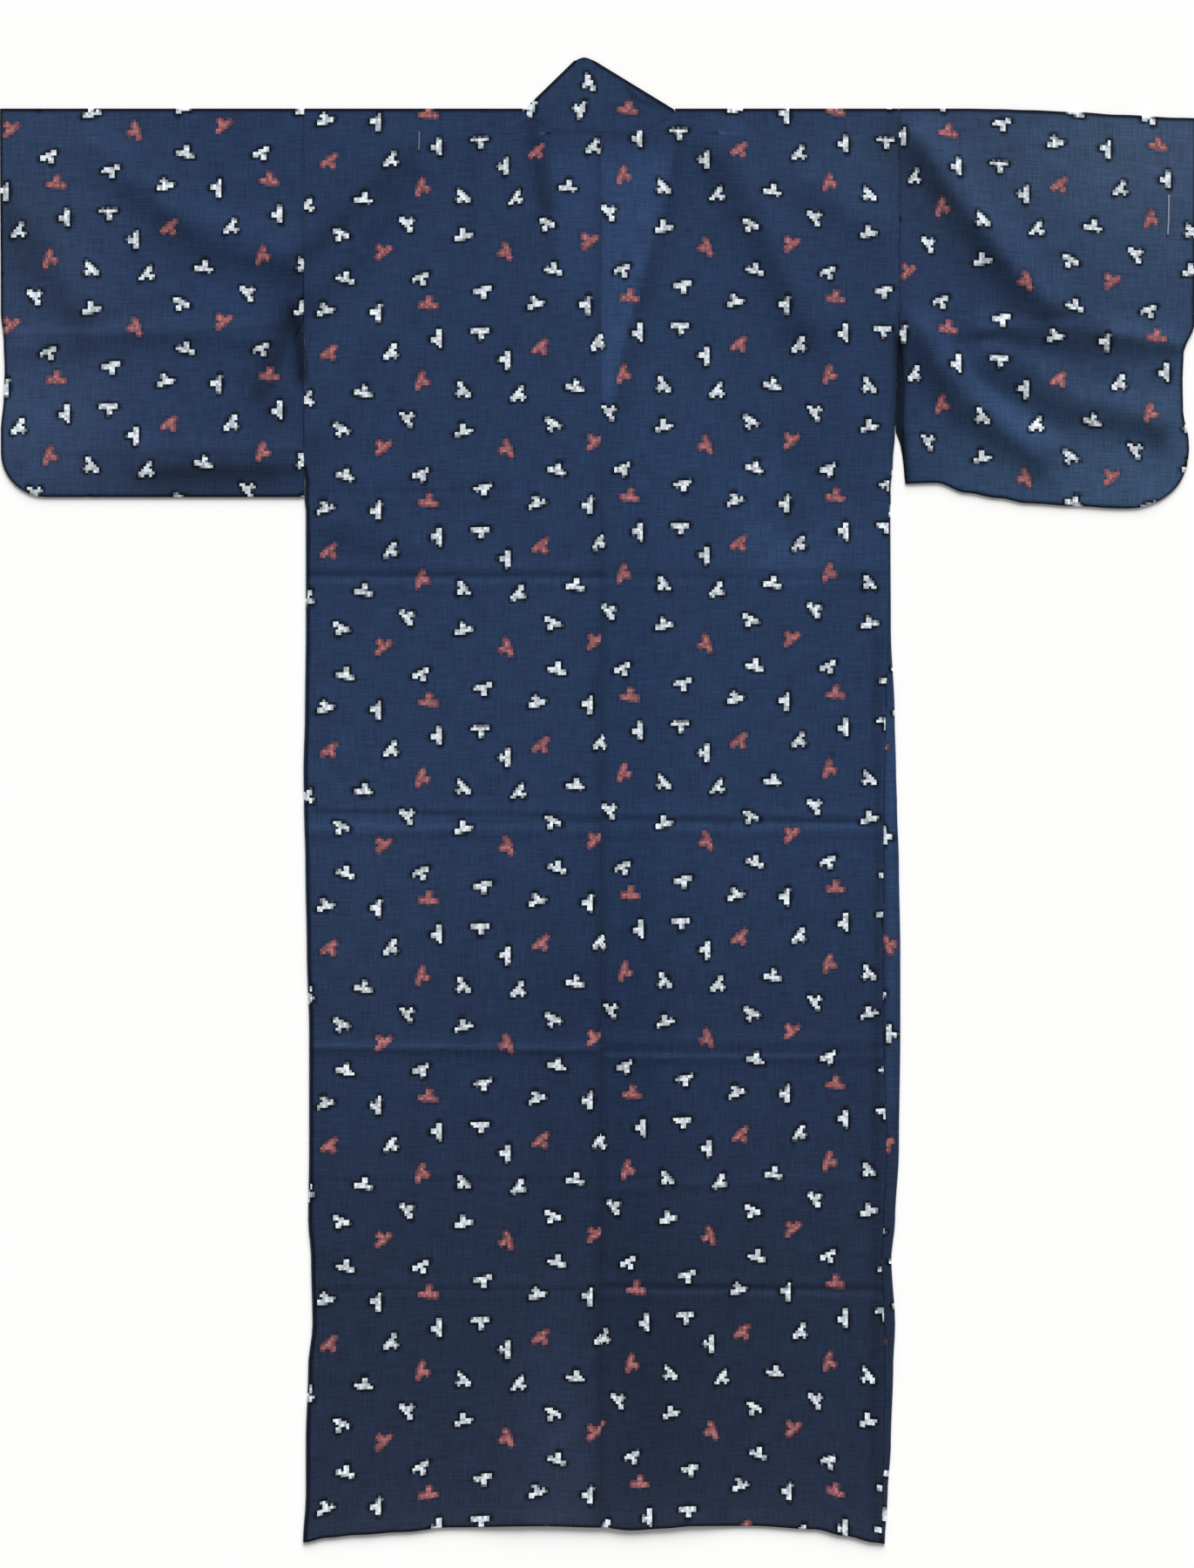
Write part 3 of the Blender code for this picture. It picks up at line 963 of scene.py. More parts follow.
@dataclass(frozen=True)
class PrintLay:
    """How the printed cloth lies on a panel.

    Attributes:
        falls: Places of one bird, a row for each repeat down the panel.
        drifts: Places where the print lies off its repeat.
    """

    falls: tuple[Fall, ...]
    drifts: tuple[Drift, ...]

    def at(self, x: float, depth: float) -> tuple[float, float]:
        """Place on the cloth's own print, in millimetres right and up from a repeat's bird.

        Args:
            x: Place across.
            depth: Depth below the shoulder line.

        Returns:
            The place on the print.
        """
        for drift in self.drifts:
            near = bell(x - drift.x, drift.wide) * bell(depth - drift.depth, drift.long)
            x -= drift.to_x * near
            depth -= drift.to_depth * near
        depths = []
        for fall in self.falls:
            share = (x - fall.left_x) / (fall.right_x - fall.left_x)
            depths.append(mix(fall.left_depth, fall.right_depth, share))
        if depth <= depths[0]:
            turns = (depth - depths[0]) / REPEAT_LONG
            low, high, share = self.falls[0], self.falls[0], 0.0
        elif depth >= depths[-1]:
            turns = len(depths) - 1 + (depth - depths[-1]) / REPEAT_LONG
            low, high, share = self.falls[-1], self.falls[-1], 0.0
        else:
            row = max(index for index, place in enumerate(depths) if place <= depth)
            share = (depth - depths[row]) / (depths[row + 1] - depths[row])
            turns = row + share
            low, high = self.falls[row], self.falls[row + 1]
        left_x = mix(low.left_x, high.left_x, share)
        right_x = mix(low.right_x, high.right_x, share)
        return REPEAT_WIDE * (x - left_x) / (right_x - left_x), -turns * REPEAT_LONG


def rim_shade(distance: float) -> float:
    """What is left of the ground's colour at a distance from an outer edge: painted shade where the
    cloth turns.
    """
    return mix(RIM_LEFT, 1.0, soft((distance - RIM_START) / RIM_REACH))


def ground_shade(x: float, depth: float, gain: float = 1.0) -> tuple[float, float, float]:
    """How much of each of the ground's colours shows at a place on top of the garment, with the painted
    shade and painted light of the streaks.

    Args:
        x: Place across.
        depth: Depth below the shoulder line.
        gain: One more factor for all three colours.

    Returns:
        Factors for red, green and blue.
    """
    # Painted shade and painted light of the streaks
    folded = 1.0
    for streak in PAINTED_SHADING_STREAKS:
        folded *= 1 + streak.gain * streak_strength(streak, x, depth)
    shade = []
    for colour in ("red", "green", "blue"):
        value = read(SHADES, depth, colour)
        for patch in PATCHES:
            near = bell(x - patch.x, patch.wide) * bell(depth - patch.depth, patch.long)
            value += getattr(patch, colour) * near
        shade.append(value * folded * gain)
    return shade[0], shade[1], shade[2]


def srgb(code: str) -> tuple[float, float, float, float]:
    """Turns an sRGB hex value into Blender's linear colour.

    Args:
        code: The six digits after a hash sign.

    Returns:
        Linear red, green and blue, and full alpha.
    """
    channels = []
    for start in (0, 2, 4):
        value = int(code.lstrip("#")[start : start + 2], 16) / 255
        channels.append(value / 12.92 if value <= 0.04045 else ((value + 0.055) / 1.055) ** 2.4)
    return channels[0], channels[1], channels[2], 1.0


def add_node(
    tree: bpy.types.NodeTree,
    kind: str,
    values: dict | None = None,
    links: dict | None = None,
    **settings: object,
) -> bpy.types.Node:
    """Adds a node with its settings, fixed inputs and links.

    Args:
        tree: Node tree to add to.
        kind: Blender's name of the node type.
        values: Fixed inputs by name or number.
        links: Output sockets by the name or number of the input that they go to.
        **settings: Properties of the node itself.

    Returns:
        The new node.
    """
    node = tree.nodes.new(kind)
    for name, value in settings.items():
        setattr(node, name, value)
    for socket, value in (values or {}).items():
        node.inputs[socket].default_value = value
    for socket, source in (links or {}).items():
        tree.links.new(source, node.inputs[socket])
    return node


def new_material(name: str) -> tuple[bpy.types.Material, bpy.types.NodeTree, bpy.types.Node]:
    """Makes a material and returns it with its node tree and its shader.

    Args:
        name: Name of the material.

    Returns:
        The material, its node tree and its shader.
    """
    material = bpy.data.materials.new(name)
    material.use_nodes = True
    return material, material.node_tree, material.node_tree.nodes["Principled BSDF"]


def add_piece(name: str, form: bmesh.types.BMesh, material: bpy.types.Material) -> bpy.types.Object:
    """Turns a finished form into an object of the scene.

    Args:
        name: Name of the object and its mesh.
        form: The form, which is freed.
        material: Its finish.

    Returns:
        The object, at the origin.
    """
    mesh = bpy.data.meshes.new(name)
    form.to_mesh(mesh)
    form.free()
    mesh.materials.append(material)
    piece = bpy.data.objects.new(name, mesh)
    bpy.context.scene.collection.objects.link(piece)
    return piece


@dataclass(frozen=True)
class BirdStencil:
    """The outline of a bird of the print, as a node group shared by all of them.

    The outline is a distance from the bird's middle for each angle off its tail: a short tail,
    then on both sides a long wing a little forward of square, and a blunt head.

    Attributes:
        reach: Farthest that the outline can be from the middle, in millimetres.
        outline: Pairs of the angle off the tail as a share of a half turn, and of the reach.
    """

    reach: float = 9.3
    outline: tuple[tuple[float, float], ...] = (
        (0.00, 0.93), (0.10, 0.88), (0.18, 0.56), (0.27, 0.38), (0.35, 0.46), (0.44, 0.92),
        (0.52, 1.04), (0.60, 0.98), (0.69, 0.62), (0.79, 0.42), (0.90, 0.37), (1.00, 0.38),
    )

    def build(self) -> bpy.types.NodeTree:
        """Makes the group, or finds it if it is made.

        Returns:
            A group whose output is how far inside the outline a place is, in millimetres.
        """
        name = "Bird of the print"
        if name in bpy.data.node_groups:
            return bpy.data.node_groups[name]
        tree = bpy.data.node_groups.new(name, "ShaderNodeTree")
        tree.interface.new_socket("Place", in_out="INPUT", socket_type="NodeSocketVector")
        tree.interface.new_socket("Middle", in_out="INPUT", socket_type="NodeSocketVector")
        tree.interface.new_socket("Heading", in_out="INPUT", socket_type="NodeSocketFloat")
        tree.interface.new_socket("Inside", in_out="OUTPUT", socket_type="NodeSocketFloat")
        half = (REPEAT_WIDE / 2, REPEAT_LONG / 2)
        given = add_node(tree, "NodeGroupInput")
        away = add_node(
            tree, "ShaderNodeVectorMath", links={0: given.outputs["Place"], 1: given.outputs["Middle"]},
            operation="SUBTRACT",
        )
        nearest = add_node(
            tree, "ShaderNodeVectorMath", values={1: (*half, 1), 2: (-half[0], -half[1], -1)},
            links={0: away.outputs[0]}, operation="WRAP",
        )
        parts = add_node(tree, "ShaderNodeSeparateXYZ", links={0: nearest.outputs[0]})
        angle = add_node(
            tree, "ShaderNodeMath", links={0: parts.outputs["Y"], 1: parts.outputs["X"]},
            operation="ARCTAN2",
        )
        off_tail = add_node(
            tree, "ShaderNodeMath", links={0: angle.outputs[0], 1: given.outputs["Heading"]},
            operation="SUBTRACT",
        )
        folded = add_node(
            tree, "ShaderNodeMath", values={1: math.pi}, links={0: off_tail.outputs[0]},
            operation="PINGPONG",
        )
        share = add_node(
            tree, "ShaderNodeMath", values={1: math.pi}, links={0: folded.outputs[0]},
            operation="DIVIDE",
        )
        curve = add_node(tree, "ShaderNodeFloatCurve", links={"Value": share.outputs[0]})
        points = curve.mapping.curves[0].points
        points[0].location = self.outline[0]
        points[1].location = self.outline[-1]
        for place, distance in self.outline[1:-1]:
            points.new(place, distance)
        curve.mapping.update()
        length = add_node(
            tree, "ShaderNodeVectorMath", links={0: nearest.outputs[0]}, operation="LENGTH",
        )
        reach = add_node(
            tree, "ShaderNodeMath", values={1: self.reach}, links={0: curve.outputs[0]},
            operation="MULTIPLY",
        )
        inside = add_node(
            tree, "ShaderNodeMath", links={0: reach.outputs[0], 1: length.outputs["Value"]},
            operation="SUBTRACT",
        )
        add_node(tree, "NodeGroupOutput", links={"Inside": inside.outputs[0]})
        return tree


@dataclass(frozen=True)
class CottonFinish:
    """Plain-woven indigo cotton with a small print of birds.

    The real cloth is a thin, washed cotton: vat-dyed threads of uneven thickness, woven plain
    and printed with a resist. It is matt, its ground is slightly streaky along both threads,
    and the birds have soft, ragged edges with a line of denser dye round them.

    Attributes:
        name: Name of the material.
        birds: The repeat's birds.
        ground: Colour of the ground as the eye takes it from a step away.
        thread_light: Ground at its lightest threads.
        white: Colour of the white birds.
        red: Colour of the red birds.
        roughness: Roughness of the dry cotton.
        thread_pitch: Distance of the drawn threads, in millimetres. The real one is about
            0.5 mm, too fine for the picture, so it is drawn coarser.
        slub_length: Length of a thicker place in a thread.
        cell: Side of the small cells that the birds' stepped edges follow. The real steps are
            as fine as the threads, so they are drawn coarser.
        torn: How far the edges are torn, in millimetres.
        torn_scale: Torn places for each millimetre.
        strength: Least and most dye in a cell.
        cloud_scale: Paler clouds of the ground for each millimetre.
        cloud: Least and most light in a cloud.
        rim: Where the dense dye round the birds starts and is full, in millimetres inside.
        white_rim: Ground's colour that is left right beside a white bird.
        red_rim: The same beside a red bird.
        white_edge: Where a white bird starts and is full, in millimetres inside.
        red_edge: The same for a red bird, whose dye has bled.
        thread_height: Height of the threads, in millimetres.
    """

    name: str
    birds: tuple[Bird, ...]
    ground: str = "#1c2c46"
    thread_light: str = "#283b5c"
    white: str = "#e6f0f8"
    red: str = "#b27072"
    roughness: float = 0.88
    thread_pitch: float = 1.6
    slub_length: float = 26.0
    cell: float = 2.8
    torn: float = 0.6
    torn_scale: float = 0.9
    strength: tuple[float, float] = (0.39, 1.02)
    cloud_scale: float = 0.035
    cloud: tuple[float, float] = (0.96, 1.04)
    rim: tuple[float, float] = (-5.8, -2.0)
    white_rim: float = 0.14
    red_rim: float = 0.6
    white_edge: tuple[float, float] = (-0.4, 0.8)
    red_edge: tuple[float, float] = (-2.8, 2.2)
    thread_height: float = 0.25

    def union(self, tree: bpy.types.NodeTree, place: Socket, dye: Dye) -> Socket:
        """How far inside any bird of one dye a place is.

        Args:
            tree: The material's node tree.
            place: Socket with the place on the print, in millimetres.
            dye: Which birds to take.

        Returns:
            The socket with the distance.
        """
        stencil = BirdStencil().build()
        best = None
        for bird in self.birds:
            if bird.dye is not dye:
                continue
            one = add_node(tree, "ShaderNodeGroup", node_tree=stencil)
            one.inputs["Middle"].default_value = (bird.x, bird.y, 0)
            one.inputs["Heading"].default_value = math.radians(bird.heading)
            tree.links.new(place, one.inputs["Place"])
            if best is None:
                best = one.outputs["Inside"]
                continue
            widest = add_node(
                tree, "ShaderNodeMath", links={0: best, 1: one.outputs["Inside"]}, operation="MAXIMUM",
            )
            best = widest.outputs[0]
        return best

    def build(self) -> bpy.types.Material:
        """Makes the material.

        Returns:
            Matt cotton that reads the piece's own print map and shade.
        """
        material, tree, shader = new_material(self.name)
        cloth = add_node(tree, "ShaderNodeUVMap", uv_map="Print")
        place = add_node(
            tree, "ShaderNodeVectorMath", values={"Scale": 1 / MM}, links={0: cloth.outputs[0]},
            operation="SCALE",
        ).outputs[0]

        rag = add_node(
            tree, "ShaderNodeTexNoise",
            values={"Scale": self.torn_scale, "Detail": 1.0, "Roughness": 0.6}, links={"Vector": place},
            noise_dimensions="2D",
        )
        centred = add_node(
            tree, "ShaderNodeVectorMath", values={1: (0.5, 0.5, 0.5)}, links={0: rag.outputs["Color"]},
            operation="SUBTRACT",
        )
        torn = add_node(
            tree, "ShaderNodeVectorMath", values={1: (self.torn, self.torn, 0)},
            links={0: centred.outputs[0], 2: place}, operation="MULTIPLY_ADD",
        ).outputs[0]
        corner = add_node(
            tree, "ShaderNodeVectorMath", values={1: (self.cell, self.cell, 1)}, links={0: torn},
            operation="SNAP",
        )
        stepped = add_node(
            tree, "ShaderNodeVectorMath", values={1: (self.cell / 2, self.cell / 2, 0)},
            links={0: corner.outputs[0]}, operation="ADD",
        ).outputs[0]
        uneven = add_node(
            tree, "ShaderNodeTexWhiteNoise", links={"Vector": stepped}, noise_dimensions="2D",
        )
        dye_strength = add_node(
            tree, "ShaderNodeMapRange", values={"To Min": self.strength[0], "To Max": self.strength[1]},
            links={"Value": uneven.outputs["Value"]},
        ).outputs[0]
        white_inside = self.union(tree, stepped, Dye.WHITE)
        red_inside = self.union(tree, stepped, Dye.RED)

        warp = self.threads(tree, place, (1 / self.thread_pitch, 1 / self.slub_length, 1))
        weft = self.threads(tree, place, (1 / self.slub_length, 1 / self.thread_pitch, 1))
        weave = add_node(tree, "ShaderNodeMath", links={0: warp, 1: weft}, operation="ADD")
        lightness = add_node(
            tree, "ShaderNodeMapRange", values={"From Min": 0.55, "From Max": 1.45},
            links={"Value": weave.outputs[0]},
        )
        mottle = add_node(
            tree, "ShaderNodeTexNoise",
            values={"Scale": self.cloud_scale, "Detail": 3.0, "Roughness": 0.55},
            links={"Vector": place}, noise_dimensions="2D",
        )
        cloudy = add_node(
            tree, "ShaderNodeMapRange",
            values={"From Min": 0.3, "From Max": 0.7, "To Min": self.cloud[0], "To Max": self.cloud[1]},
            links={"Value": mottle.outputs[0]},
        )
        ground = add_node(
            tree, "ShaderNodeMix", values={6: srgb(self.ground), 7: srgb(self.thread_light)},
            links={0: lightness.outputs[0]}, data_type="RGBA",
        )
        clouded = add_node(
            tree, "ShaderNodeVectorMath", links={0: ground.outputs[2], "Scale": cloudy.outputs[0]},
            operation="SCALE",
        )
        shade = add_node(tree, "ShaderNodeVertexColor", layer_name="Shade")
        shaded = add_node(
            tree, "ShaderNodeVectorMath", links={0: clouded.outputs[0], 1: shade.outputs[0]},
            operation="MULTIPLY",
        )
        white_rim = self.dense(tree, white_inside, self.white_rim)
        red_rim = self.dense(tree, red_inside, self.red_rim)
        rims = add_node(tree, "ShaderNodeMath", links={0: white_rim, 1: red_rim}, operation="MULTIPLY")
        dyed = add_node(
            tree, "ShaderNodeVectorMath", links={0: shaded.outputs[0], "Scale": rims.outputs[0]},
            operation="SCALE",
        )
        red = self.dyed(tree, self.red, dye_strength)
        with_red = self.printed(tree, dyed.outputs[0], red_inside, red, self.red_edge)
        white = self.dyed(tree, self.white, dye_strength)
        with_white = self.printed(tree, with_red, white_inside, white, self.white_edge)
        tree.links.new(with_white, shader.inputs["Base Color"])

        height = add_node(
            tree, "ShaderNodeMath", values={1: 0.5}, links={0: weave.outputs[0]}, operation="MULTIPLY",
        )
        bump = add_node(
            tree, "ShaderNodeBump", values={"Strength": 0.35, "Distance": self.thread_height * MM},
            links={"Height": height.outputs[0]},
        )
        tree.links.new(bump.outputs[0], shader.inputs["Normal"])
        shader.inputs["Roughness"].default_value = self.roughness
        shader.inputs["IOR"].default_value = 1.5
        shader.inputs["Specular IOR Level"].default_value = 0.1
        shader.inputs["Sheen Weight"].default_value = 0.04
        shader.inputs["Sheen Roughness"].default_value = 0.5
        return material

    def dense(self, tree: bpy.types.NodeTree, inside: Socket, left: float) -> Socket:
        """What is left of the ground's colour in the dense dye round the birds.

        Args:
            tree: The material's node tree.
            inside: Socket with how far inside the birds a place is.
            left: Share that is left right beside a bird.

        Returns:
            The socket with the share.
        """
        near = add_node(
            tree, "ShaderNodeMapRange",
            values={"From Min": self.rim[0], "From Max": self.rim[1], "To Min": 1.0, "To Max": left},
            links={"Value": inside},
        )
        return near.outputs[0]

    def threads(
        self, tree: bpy.types.NodeTree, place: Socket, frequency: tuple[float, float, float]
    ) -> Socket:
        """Streaks along one set of threads.

        Args:
            tree: The material's node tree.
            place: Socket with the place on the cloth, in millimetres.
            frequency: Streaks for each millimetre across and along.

        Returns:
            The socket with a value from 0 to 1.
        """
        scaled = add_node(
            tree, "ShaderNodeVectorMath", values={1: frequency}, links={0: place}, operation="MULTIPLY",
        )
        streaks = add_node(
            tree, "ShaderNodeTexNoise", values={"Scale": 1.0, "Detail": 1.0, "Roughness": 0.5},
            links={"Vector": scaled.outputs[0]}, noise_dimensions="2D",
        )
        return streaks.outputs[0]

    def dyed(self, tree: bpy.types.NodeTree, colour: str, strength: Socket) -> Socket:
        """A bird's colour, cleaner in some small cells of the print than in others.

        Args:
            tree: The material's node tree.
            colour: The bird's colour.
            strength: Socket with how clean each cell came out.

        Returns:
            The socket with the colour.
        """
        scaled = add_node(
            tree, "ShaderNodeVectorMath", values={0: srgb(colour)[:3]}, links={"Scale": strength},
            operation="SCALE",
        )
        return scaled.outputs[0]

    def printed(
        self,
        tree: bpy.types.NodeTree,
        under: Socket,
        inside: Socket,
        colour: Socket,
        edge: tuple[float, float],
    ) -> Socket:
        """Lays the birds of one colour over the colours so far.

        Args:
            tree: The material's node tree.
            under: Socket with the colour so far.
            inside: Socket with how far inside the birds a place is.
            colour: Socket with the birds' colour.
            edge: How far inside the birds it starts and is full, in millimetres.

        Returns:
            The socket with the new colour.
        """
        mask = add_node(
            tree, "ShaderNodeMapRange", values={"From Min": edge[0], "From Max": edge[1]},
            links={"Value": inside},
        )
        laid = add_node(
            tree, "ShaderNodeMix", links={0: mask.outputs[0], 6: under, 7: colour}, data_type="RGBA",
        )
        return laid.outputs[2]


@dataclass(frozen=True)
class ThreadFinish:
    """Spun cotton sewing thread: matt, with light and dark turns of its twist.

    Attributes:
        name: Name of the material.
        colour: Colour of the thread.
        roughness: Roughness of the dry cotton.
        twist_scale: Turns for each metre, drawn coarser than the real ones.
    """

    name: str
    colour: str
    roughness: float = 0.8
    twist_scale: float = 900.0

    def build(self) -> bpy.types.Material:
        """Makes the material.

        Returns:
            Matt cotton thread.
        """
        material, tree, shader = new_material(self.name)
        place = add_node(tree, "ShaderNodeTexCoord")
        twist = add_node(
            tree, "ShaderNodeTexNoise", values={"Scale": self.twist_scale, "Detail": 1.0},
            links={"Vector": place.outputs["Object"]},
        )
        lightness = add_node(
            tree, "ShaderNodeMapRange", values={"To Min": 0.8, "To Max": 1.1},
            links={"Value": twist.outputs[0]},
        )
        colour = add_node(
            tree, "ShaderNodeVectorMath", values={0: srgb(self.colour)[:3]},
            links={"Scale": lightness.outputs[0]}, operation="SCALE",
        )
        tree.links.new(colour.outputs[0], shader.inputs["Base Color"])
        shader.inputs["Roughness"].default_value = self.roughness
        return material


def even_steps(start: float, end: float, pitch: float) -> list[float]:
    """Evenly spaced values from start to end, both included."""
    count = max(1, round(abs(end - start) / pitch))
    return [mix(start, end, step / count) for step in range(count + 1)]


def edged_shares(width: float, pitch: float, fine: Sequence[float]) -> list[float]:
    """Shares across a width that crowd towards both edges.

    Args:
        width: The width, in millimetres.
        pitch: Distance of the even columns.
        fine: Distances of the crowded columns from each edge.

    Returns:
        Rising shares from 0 to 1.
    """
    near = [distance / width for distance in fine]
    inner = even_steps(near[-1], 1 - near[-1], pitch / width)
    return near[:-1] + inner + [1 - share for share in reversed(near[:-1])]


@dataclass
class ClothPiece:
    """A sewn piece of cloth: a wall bent from a grid of spots.

    Attributes:
        node: The CAD node that it stands for.
        slot: The record's material slot; not used.
        finish: The cloth's finish.
    """

    node: str
    slot: str
    finish: CottonFinish

    @cached_property
    def lay(self) -> PrintLay:
        """How the print lies on the piece."""
        return PrintLay(PRINT_FALLS[self.node], DRIFTS.get(self.node, ()))

    def spots(self) -> list[list[Spot]]:
        """Rows of spots, each across the piece."""
        raise NotImplementedError

    def build(self) -> bpy.types.Object:
        """Bends the grid, thickens it and dresses it.

        Returns:
            The finished object.
        """
        rows = self.spots()
        lines = len(rows)
        columns = len(rows[0])
        form = bmesh.new()
        bmesh.ops.create_grid(form, x_segments=columns - 1, y_segments=lines - 1, size=1)
        shades = form.verts.layers.float_color.new("Shade")
        prints = form.loops.layers.uv.new("Print")
        placed: dict[bmesh.types.BMVert, Spot] = {}
        for vert in form.verts:
            column = round((vert.co.x + 1) / 2 * (columns - 1))
            line = round((vert.co.y + 1) / 2 * (lines - 1))
            spot = rows[line][column]
            placed[vert] = spot
            vert[shades] = (*spot.shade, 1.0)
        for vert, spot in placed.items():
            vert.co = Vector((spot.x + LAY.place_x, spot.y + LAY.place_y, spot.z)) * MM
        for face in form.faces:
            face.smooth = True
            for loop in face.loops:
                spot = placed[loop.vert]
                loop[prints].uv = (spot.print_x * MM, spot.print_y * MM)
        name = f"{self.node}_cloth"
        piece = add_piece(name, form, self.finish.build())
        thick = piece.modifiers.new("Cloth", "SOLIDIFY")
        thick.thickness = LAY.cloth * MM
        thick.offset = 0
        thick.use_even_offset = False
        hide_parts(self.node)
        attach(piece, "root")
        log.info("%s: %d rows of %d", name, lines, columns)
        return piece


@dataclass
class Body(ClothPiece):
    """One length of cloth from the back hem over the shoulder to the front hem.

    Attributes:
        side: Which half.
        relief: What stands on its back.
        width: Width that its columns are shared out over.
        pitch: Distance of the rows on the back, in millimetres.
        column_pitch: Distance of the even columns.
        fine_columns: Distances of the crowded columns from each side edge.
        hem_rows: Distances of the crowded rows from the hem.
        even_from: Distance from the hem at which the even rows start.
        even_to: Distance from the neck at which they end.
        neck_rows: Depths of the crowded rows at the neck.
        front_rows: First and last depth and distance of the front's rows, span by span.
        hem_turning: Height of the turned-up hem.
        hem_lift: How far it lifts the cloth.
        hem_ease: Height of its step.
        seam_dip: How far the cloth dips at the side edge.
        centre_dip: How far it dips into the centre back seam.
        centre_gap: Gap at the centre back seam.
        seam_reach: How far from an edge or a seam a dip starts.
        neck_ease: Height over which the neck seam takes over from the centre seam.
        neck_calm: How far from the neck seam the cloth lies calm.
        hollow_sag: How far the back sinks between the collar's arms.
        hollow_edge: Width of the slope into that hollow.
        hollow_start: How far below the neck seam the hollow is full.
        hollow_light: How much painted light brightens the ground in it.
        left_light: Share of that light left of the centre seam.
        left_fade: Depth at which the left light starts to fade, and over what.
        seam_shade: How much painted shade darkens the centre seam.
        seam_shade_reach: How far from the seam that shows.
        seam_shade_top: Share of it near the neck.
        seam_shade_grow: Depth at which it starts to grow, and over what.
        edge_start: Height over which the left edge's painted dark rim starts below the sleeve.
        strip_steps: Columns across the strip of front that is rolled onto the back.
        roll_steps: Columns round the roll.
        roll_columns: Grid value at which the roll ends.
        body_columns: Grid value at the inner edge.
        even_until: Depth from which the front's columns follow the roll.
    """

    side: Side = Side.LEFT
    relief: Relief = Relief(BODY_FOLDS)
    width: float = 314.0
    pitch: float = 2.8
    column_pitch: float = 6.0
    fine_columns: tuple[float, ...] = (0, 0.3, 1.2, 2.4, 4.2, 7)
    hem_rows: tuple[float, ...] = (0, 1.1, 2.2, 4, 7)
    even_from: float = 20.0
    even_to: float = 4.0
    neck_rows: tuple[float, ...] = (
        24, 23.95, 23.8, 23.6, 23, 22.2, 21.2, 19.5, 17, 14, 11, 8, 5, 3.2, 2.2, 1.1,
    )
    front_rows: tuple[tuple[float, float, float], ...] = ((6, 348, 12), (360, 430, 6), (442, 1500, 12))
    hem_turning: float = 14.0
    hem_lift: float = 0.35
    hem_ease: float = 3.0
    seam_dip: float = 0.45
    centre_dip: float = 0.12
    centre_gap: float = 0.06
    seam_reach: float = 2.6
    neck_ease: float = 8.0
    neck_calm: float = 9.0
    hollow_sag: float = 0.8
    hollow_edge: float = 5.0
    hollow_start: float = 16.0
    hollow_light: float = 0.42
    left_light: float = 0.6
    left_fade: tuple[float, float] = (130.0, 100.0)
    seam_shade: float = 0.22
    seam_shade_reach: float = 7.0
    seam_shade_top: float = 0.35
    seam_shade_grow: tuple[float, float] = (280.0, 320.0)
    edge_start: float = 10.0
    strip_steps: int = 4
    roll_steps: int = 8
    roll_columns: int = 5
    body_columns: int = 14
    even_until: float = 90.0

    def stations(self) -> list[Station]:
        """Rows from the back hem over the shoulder to the front hem.

        Returns:
            The rows, in the grid's order.
        """
        turning = LAY.length - self.hem_turning
        half_step = self.hem_ease / 2
        back = [LAY.length - distance for distance in self.hem_rows]
        back += [turning + half_step, turning - half_step]
        back += even_steps(LAY.length - self.even_from, LAY.neck_drop + self.even_to, self.pitch)
        back += self.neck_rows
        front = [depth for span in self.front_rows for depth in even_steps(*span)]
        rows = [Station(Layer.BACK, depth) for depth in back] + turn_rows()
        return rows + [Station(Layer.FRONT, depth) for depth in front]

    def strip_at(self, depth: float) -> float:
        """Width of the front that lies on the back beside the side seam."""
        return read(EDGES, depth, "strip") if self.side is Side.RIGHT else EDGES[0].strip

    def hollow(self, x: float, depth: float) -> float:
        """How deep in the hollow between the collar's arms a place is, from 0 to 1.

        Args:
            x: Place across.
            depth: Depth below the shoulder line.

        Returns:
            A share from 0 to 1.
        """
        if depth > NECK_HOLLOW[-1].depth + 2 * self.hollow_edge or depth < NECK_HOLLOW[0].depth:
            return 0.0
        left = read(NECK_HOLLOW, depth, "left", straight)
        right = read(NECK_HOLLOW, depth, "right", straight)
        from_seam = (depth - NECK_HOLLOW[0].depth) * self.hollow_edge / self.hollow_start
        inside = min(x - left, right - x, NECK_HOLLOW[-1].depth - depth, from_seam - self.hollow_edge)
        return soft(0.5 + inside / (2 * self.hollow_edge))

    def seam_gap_from(self, x: float, depth: float, outer: float, inner: float) -> tuple[float, float]:
        """Distances of a place on the back from its side edge, and from the centre or neck seam.

        Args:
            x: Place across.
            depth: Depth below the shoulder line.
            outer: Distance of the side edge from the centre.
            inner: Distance of the inner edge from the centre.

        Returns:
            The two distances, in millimetres.
        """
        across = abs(x)
        drop = LAY.neck_drop - LAY.neck_top
        neck_depth = LAY.neck_drop - drop * (across / LAY.neck_point[self.side]) ** LAY.neck_power
        at_neck = soft((LAY.neck_drop + self.neck_ease - depth) / self.neck_ease)
        from_centre = across - LAY.seam_gap / 2 + 2 * self.seam_reach * at_neck
        from_neck = max(0.0, depth - neck_depth)
        if depth < LAY.neck_drop:
            from_neck = min(from_neck, across - inner)
        return outer - across, min(from_centre, from_neck)

    def hem_step(self, depth: float) -> float:
        """Height that the turned-up hem adds from underneath."""
        into = depth - LAY.length + self.hem_turning + self.hem_ease / 2
        return self.hem_lift * soft(into / self.hem_ease)

